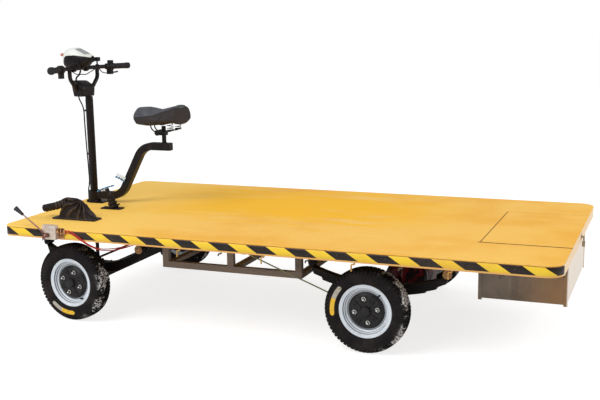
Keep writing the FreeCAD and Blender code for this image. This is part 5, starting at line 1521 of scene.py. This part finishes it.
# ---- Foot pedal ------------------------------------------------------------------------------
# A foot switch under a moulded rubber bellows, on a pressed steel plate with a small side tread. Four
# screws hold the plate down on the deck.
dress(worn_paint("pedal_rubber", tint(28, 23, 22), tint(62, 53, 50), patch=30.0, cover=(0.5, 0.78),
                 grain=500.0, rough=(0.45, 0.7), relief=0.2, gloss=0.2), "foot_pedal")
screw_profile = [(0.0, 0.0), (0.0, 0.0050), (0.0010, 0.0050), (0.0028, 0.0034), (0.0030, 0.0)]
screw_heads = [turned_surface(screw_profile, (screw_x, screw_y, 0.5900), (0, 0, 1), 20)
               for screw_x in (1.168, 1.293) for screw_y in (0.170, 0.214)]
pedal_screws = mesh_piece("pedal_screws", *joined(screw_heads), hub_black)
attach(soften(pedal_screws, 30.0), "chassis")


# ---- Side lever and its cables ---------------------------------------------------------------
# A selector in a thin beige steel case on the left band. Its rod turns on a copper-coloured fork
# outside the case, and two red cables leave through a brass gland behind.
def lever_finish():
    """Beige paint on the case, coppery rod ahead of it and brass behind, by place along the cart."""
    material, tree, output = new_material("side_lever_finish")
    where = object_place(tree)
    along = split_place(tree, where)["X"]
    clouds = noise_field(tree, where, 30.0, 5.0, 0.65)
    fine = noise_field(tree, where, 260.0, 3.0, 0.6)
    case = fading(tree, clouds, 0.4, 0.7, tint(216, 200, 186), tint(186, 166, 150))
    rod = fading(tree, clouds, 0.4, 0.65, tint(148, 96, 84), tint(190, 160, 148))
    brass = fading(tree, clouds, 0.42, 0.6, tint(204, 150, 96), tint(104, 62, 44))
    colour = fading(tree, along, 1.2896, 1.2900, case, rod)
    colour = fading(tree, along, 1.1975, 1.1979, colour, brass, 1.0, 0.0)
    colour = fading(tree, fine, 0.66, 0.76, colour, tint(120, 92, 80), 0.0, 0.4)
    finish_surface(tree, output, colour, step_between(tree, clouds, 0.3, 0.7, 0.3, 0.5), fine, 0.08,
                   metal=0.25)
    return material


dress(lever_finish(), "side_lever")
dress(worn_paint("knob_plastic", tint(40, 37, 40), tint(66, 62, 64), patch=50.0, cover=(0.5, 0.8),
                 grain=900.0, rough=(0.35, 0.55), relief=0.1), "side_knob")

copper = worn_paint("fork_copper", tint(140, 84, 70), tint(62, 38, 36), patch=60.0, cover=(0.42, 0.62),
                    metal=0.4, rough=(0.35, 0.55))
crank = smooth_path([(1.3060, 0.8420, 0.5760), (1.2990, 0.8500, 0.5740), (1.2880, 0.8585, 0.5690),
                     (1.2700, 0.8600, 0.5600), (1.2500, 0.8600, 0.5520)], 40) - [0, 0.0022, 0]
fork = [tube_along(crank, 0.0042, 14)]
disc = [(-0.0045, 0.0), (-0.0045, 0.0115), (0.0, 0.0125), (0.0040, 0.0120), (0.0052, 0.0100),
        (0.0052, 0.0058), (0.0068, 0.0054), (0.0072, 0.0040), (0.0072, 0.0)]
fork.append(turned_surface(disc, (1.2500, 0.8590, 0.5520), (0, 1, 0), 36))
small_disc = [(-0.003, 0.0), (-0.003, 0.0085), (0.0035, 0.0080), (0.0042, 0.0060), (0.0042, 0.0)]
fork.append(turned_surface(small_disc, (1.2790, 0.8580, 0.5350), (0, 1, 0), 28))
tines = (((1.2780, 0.8580, 0.5350), (1.2520, 0.8580, 0.5560)),
         ((1.2860, 0.8570, 0.5780), (1.2800, 0.8570, 0.5360)),
         ((1.2600, 0.8575, 0.5480), (1.2880, 0.8575, 0.5200)))
for start, end in tines:
    fork.append(tube_along(np.linspace(start, end, 12), 0.0034, 10))
lever_fork = mesh_piece("side_lever_fork", *joined(fork), copper)
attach(soften(lever_fork, 40.0), "chassis")

screw_profile = [(0.0, 0.0), (0.0, 0.0034), (0.0012, 0.0032), (0.0018, 0.0018), (0.0013, 0.0)]
screw_heads = [turned_surface(screw_profile, (screw_x, 0.8540, screw_z), (0, 1, 0), 16)
               for screw_x, screw_z in ((1.2075, 0.599), (1.2075, 0.535), (1.2320, 0.599))]
case_screws = mesh_piece("side_case_screws", *joined(screw_heads), nut_chrome)
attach(soften(case_screws, 30.0), "chassis")

loop = smooth_path([(1.1900, 0.8270, 0.5900), (1.1870, 0.8360, 0.5860), (1.1850, 0.8390, 0.5700),
                    (1.1840, 0.8380, 0.5500), (1.1850, 0.8290, 0.5440)], 30)
brass_bits = [tube_along(loop - [back, 0, 0], 0.0024, 10) for back in (0.0, 0.013)]
gland_profile = [(-0.004, 0.0), (-0.004, 0.0075), (0.004, 0.0075), (0.005, 0.0060), (0.005, 0.0)]
brass_bits.append(turned_surface(gland_profile, (1.1720, 0.8300, 0.5600), (0, 1, 0), 6))
gland_brass = mesh_piece("gland_brass_loops", *joined(brass_bits),
                         worn_paint("gland_brass", tint(212, 164, 104), tint(116, 70, 50), patch=70.0,
                                    cover=(0.45, 0.62), metal=0.4, rough=(0.3, 0.5)))
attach(soften(gland_brass, 40.0), "chassis")

red_sheath = worn_paint("feed_cable_red", tint(196, 38, 26), tint(118, 16, 18), patch=26.0,
                        cover=(0.5, 0.72), rough=(0.3, 0.5))
feeds = []
for apart in (0.0, 0.0110):
    route = np.array([(1.1500, 0.8250, 0.5760), (1.1250, 0.8255, 0.5765), (1.0950, 0.8255, 0.5660),
                      (1.0500, 0.8250, 0.5390), (1.0080, 0.8140, 0.5070), (0.9720, 0.7750, 0.4760),
                      (0.9250, 0.7100, 0.4610), (0.8800, 0.6400, 0.4620), (0.8420, 0.5900, 0.4720),
                      (0.8080, 0.5520, 0.4790)])
    route[:, 2] -= apart * np.array([1, 1, 1, 1, 0.95, 0.9, 0.9, 0.9, 0.9, 0.9])
    route[3:6, 1] -= apart * np.array([0.2, 0.6, 0.8])
    feeds.append(tube_along(smooth_path(route, 110), 0.0029, 12, hint=(0.1, 0.2, 1.0)))
feed_pair = mesh_piece("feed_cable_pair", *joined(feeds), red_sheath)
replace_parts(feed_pair, "feed_cables")
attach(feed_pair, "chassis")
box_middle = [0, 0.552, 0]
box_points, box_faces = squared_plug([(0.7720, 0.0135), (0.7735, 0.0150), (0.8105, 0.0150),
                                      (0.8120, 0.0135), (0.8120, 0.0001)], 1.45, 0.475)
hanger = flat_plate((0.782, 0.474, 0.470), (0.802, 0.530, 0.4735))
junction_box = mesh_piece("feed_junction_box", *joined([(box_points + box_middle, box_faces), hanger]),
                          box_plastic)
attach(soften(junction_box, 35.0), "chassis")
dress(worn_paint("park_cable_green", tint(140, 146, 112), tint(86, 92, 74), patch=24.0, cover=(0.5, 0.75),
                 rough=(0.35, 0.55)), "park_cables")
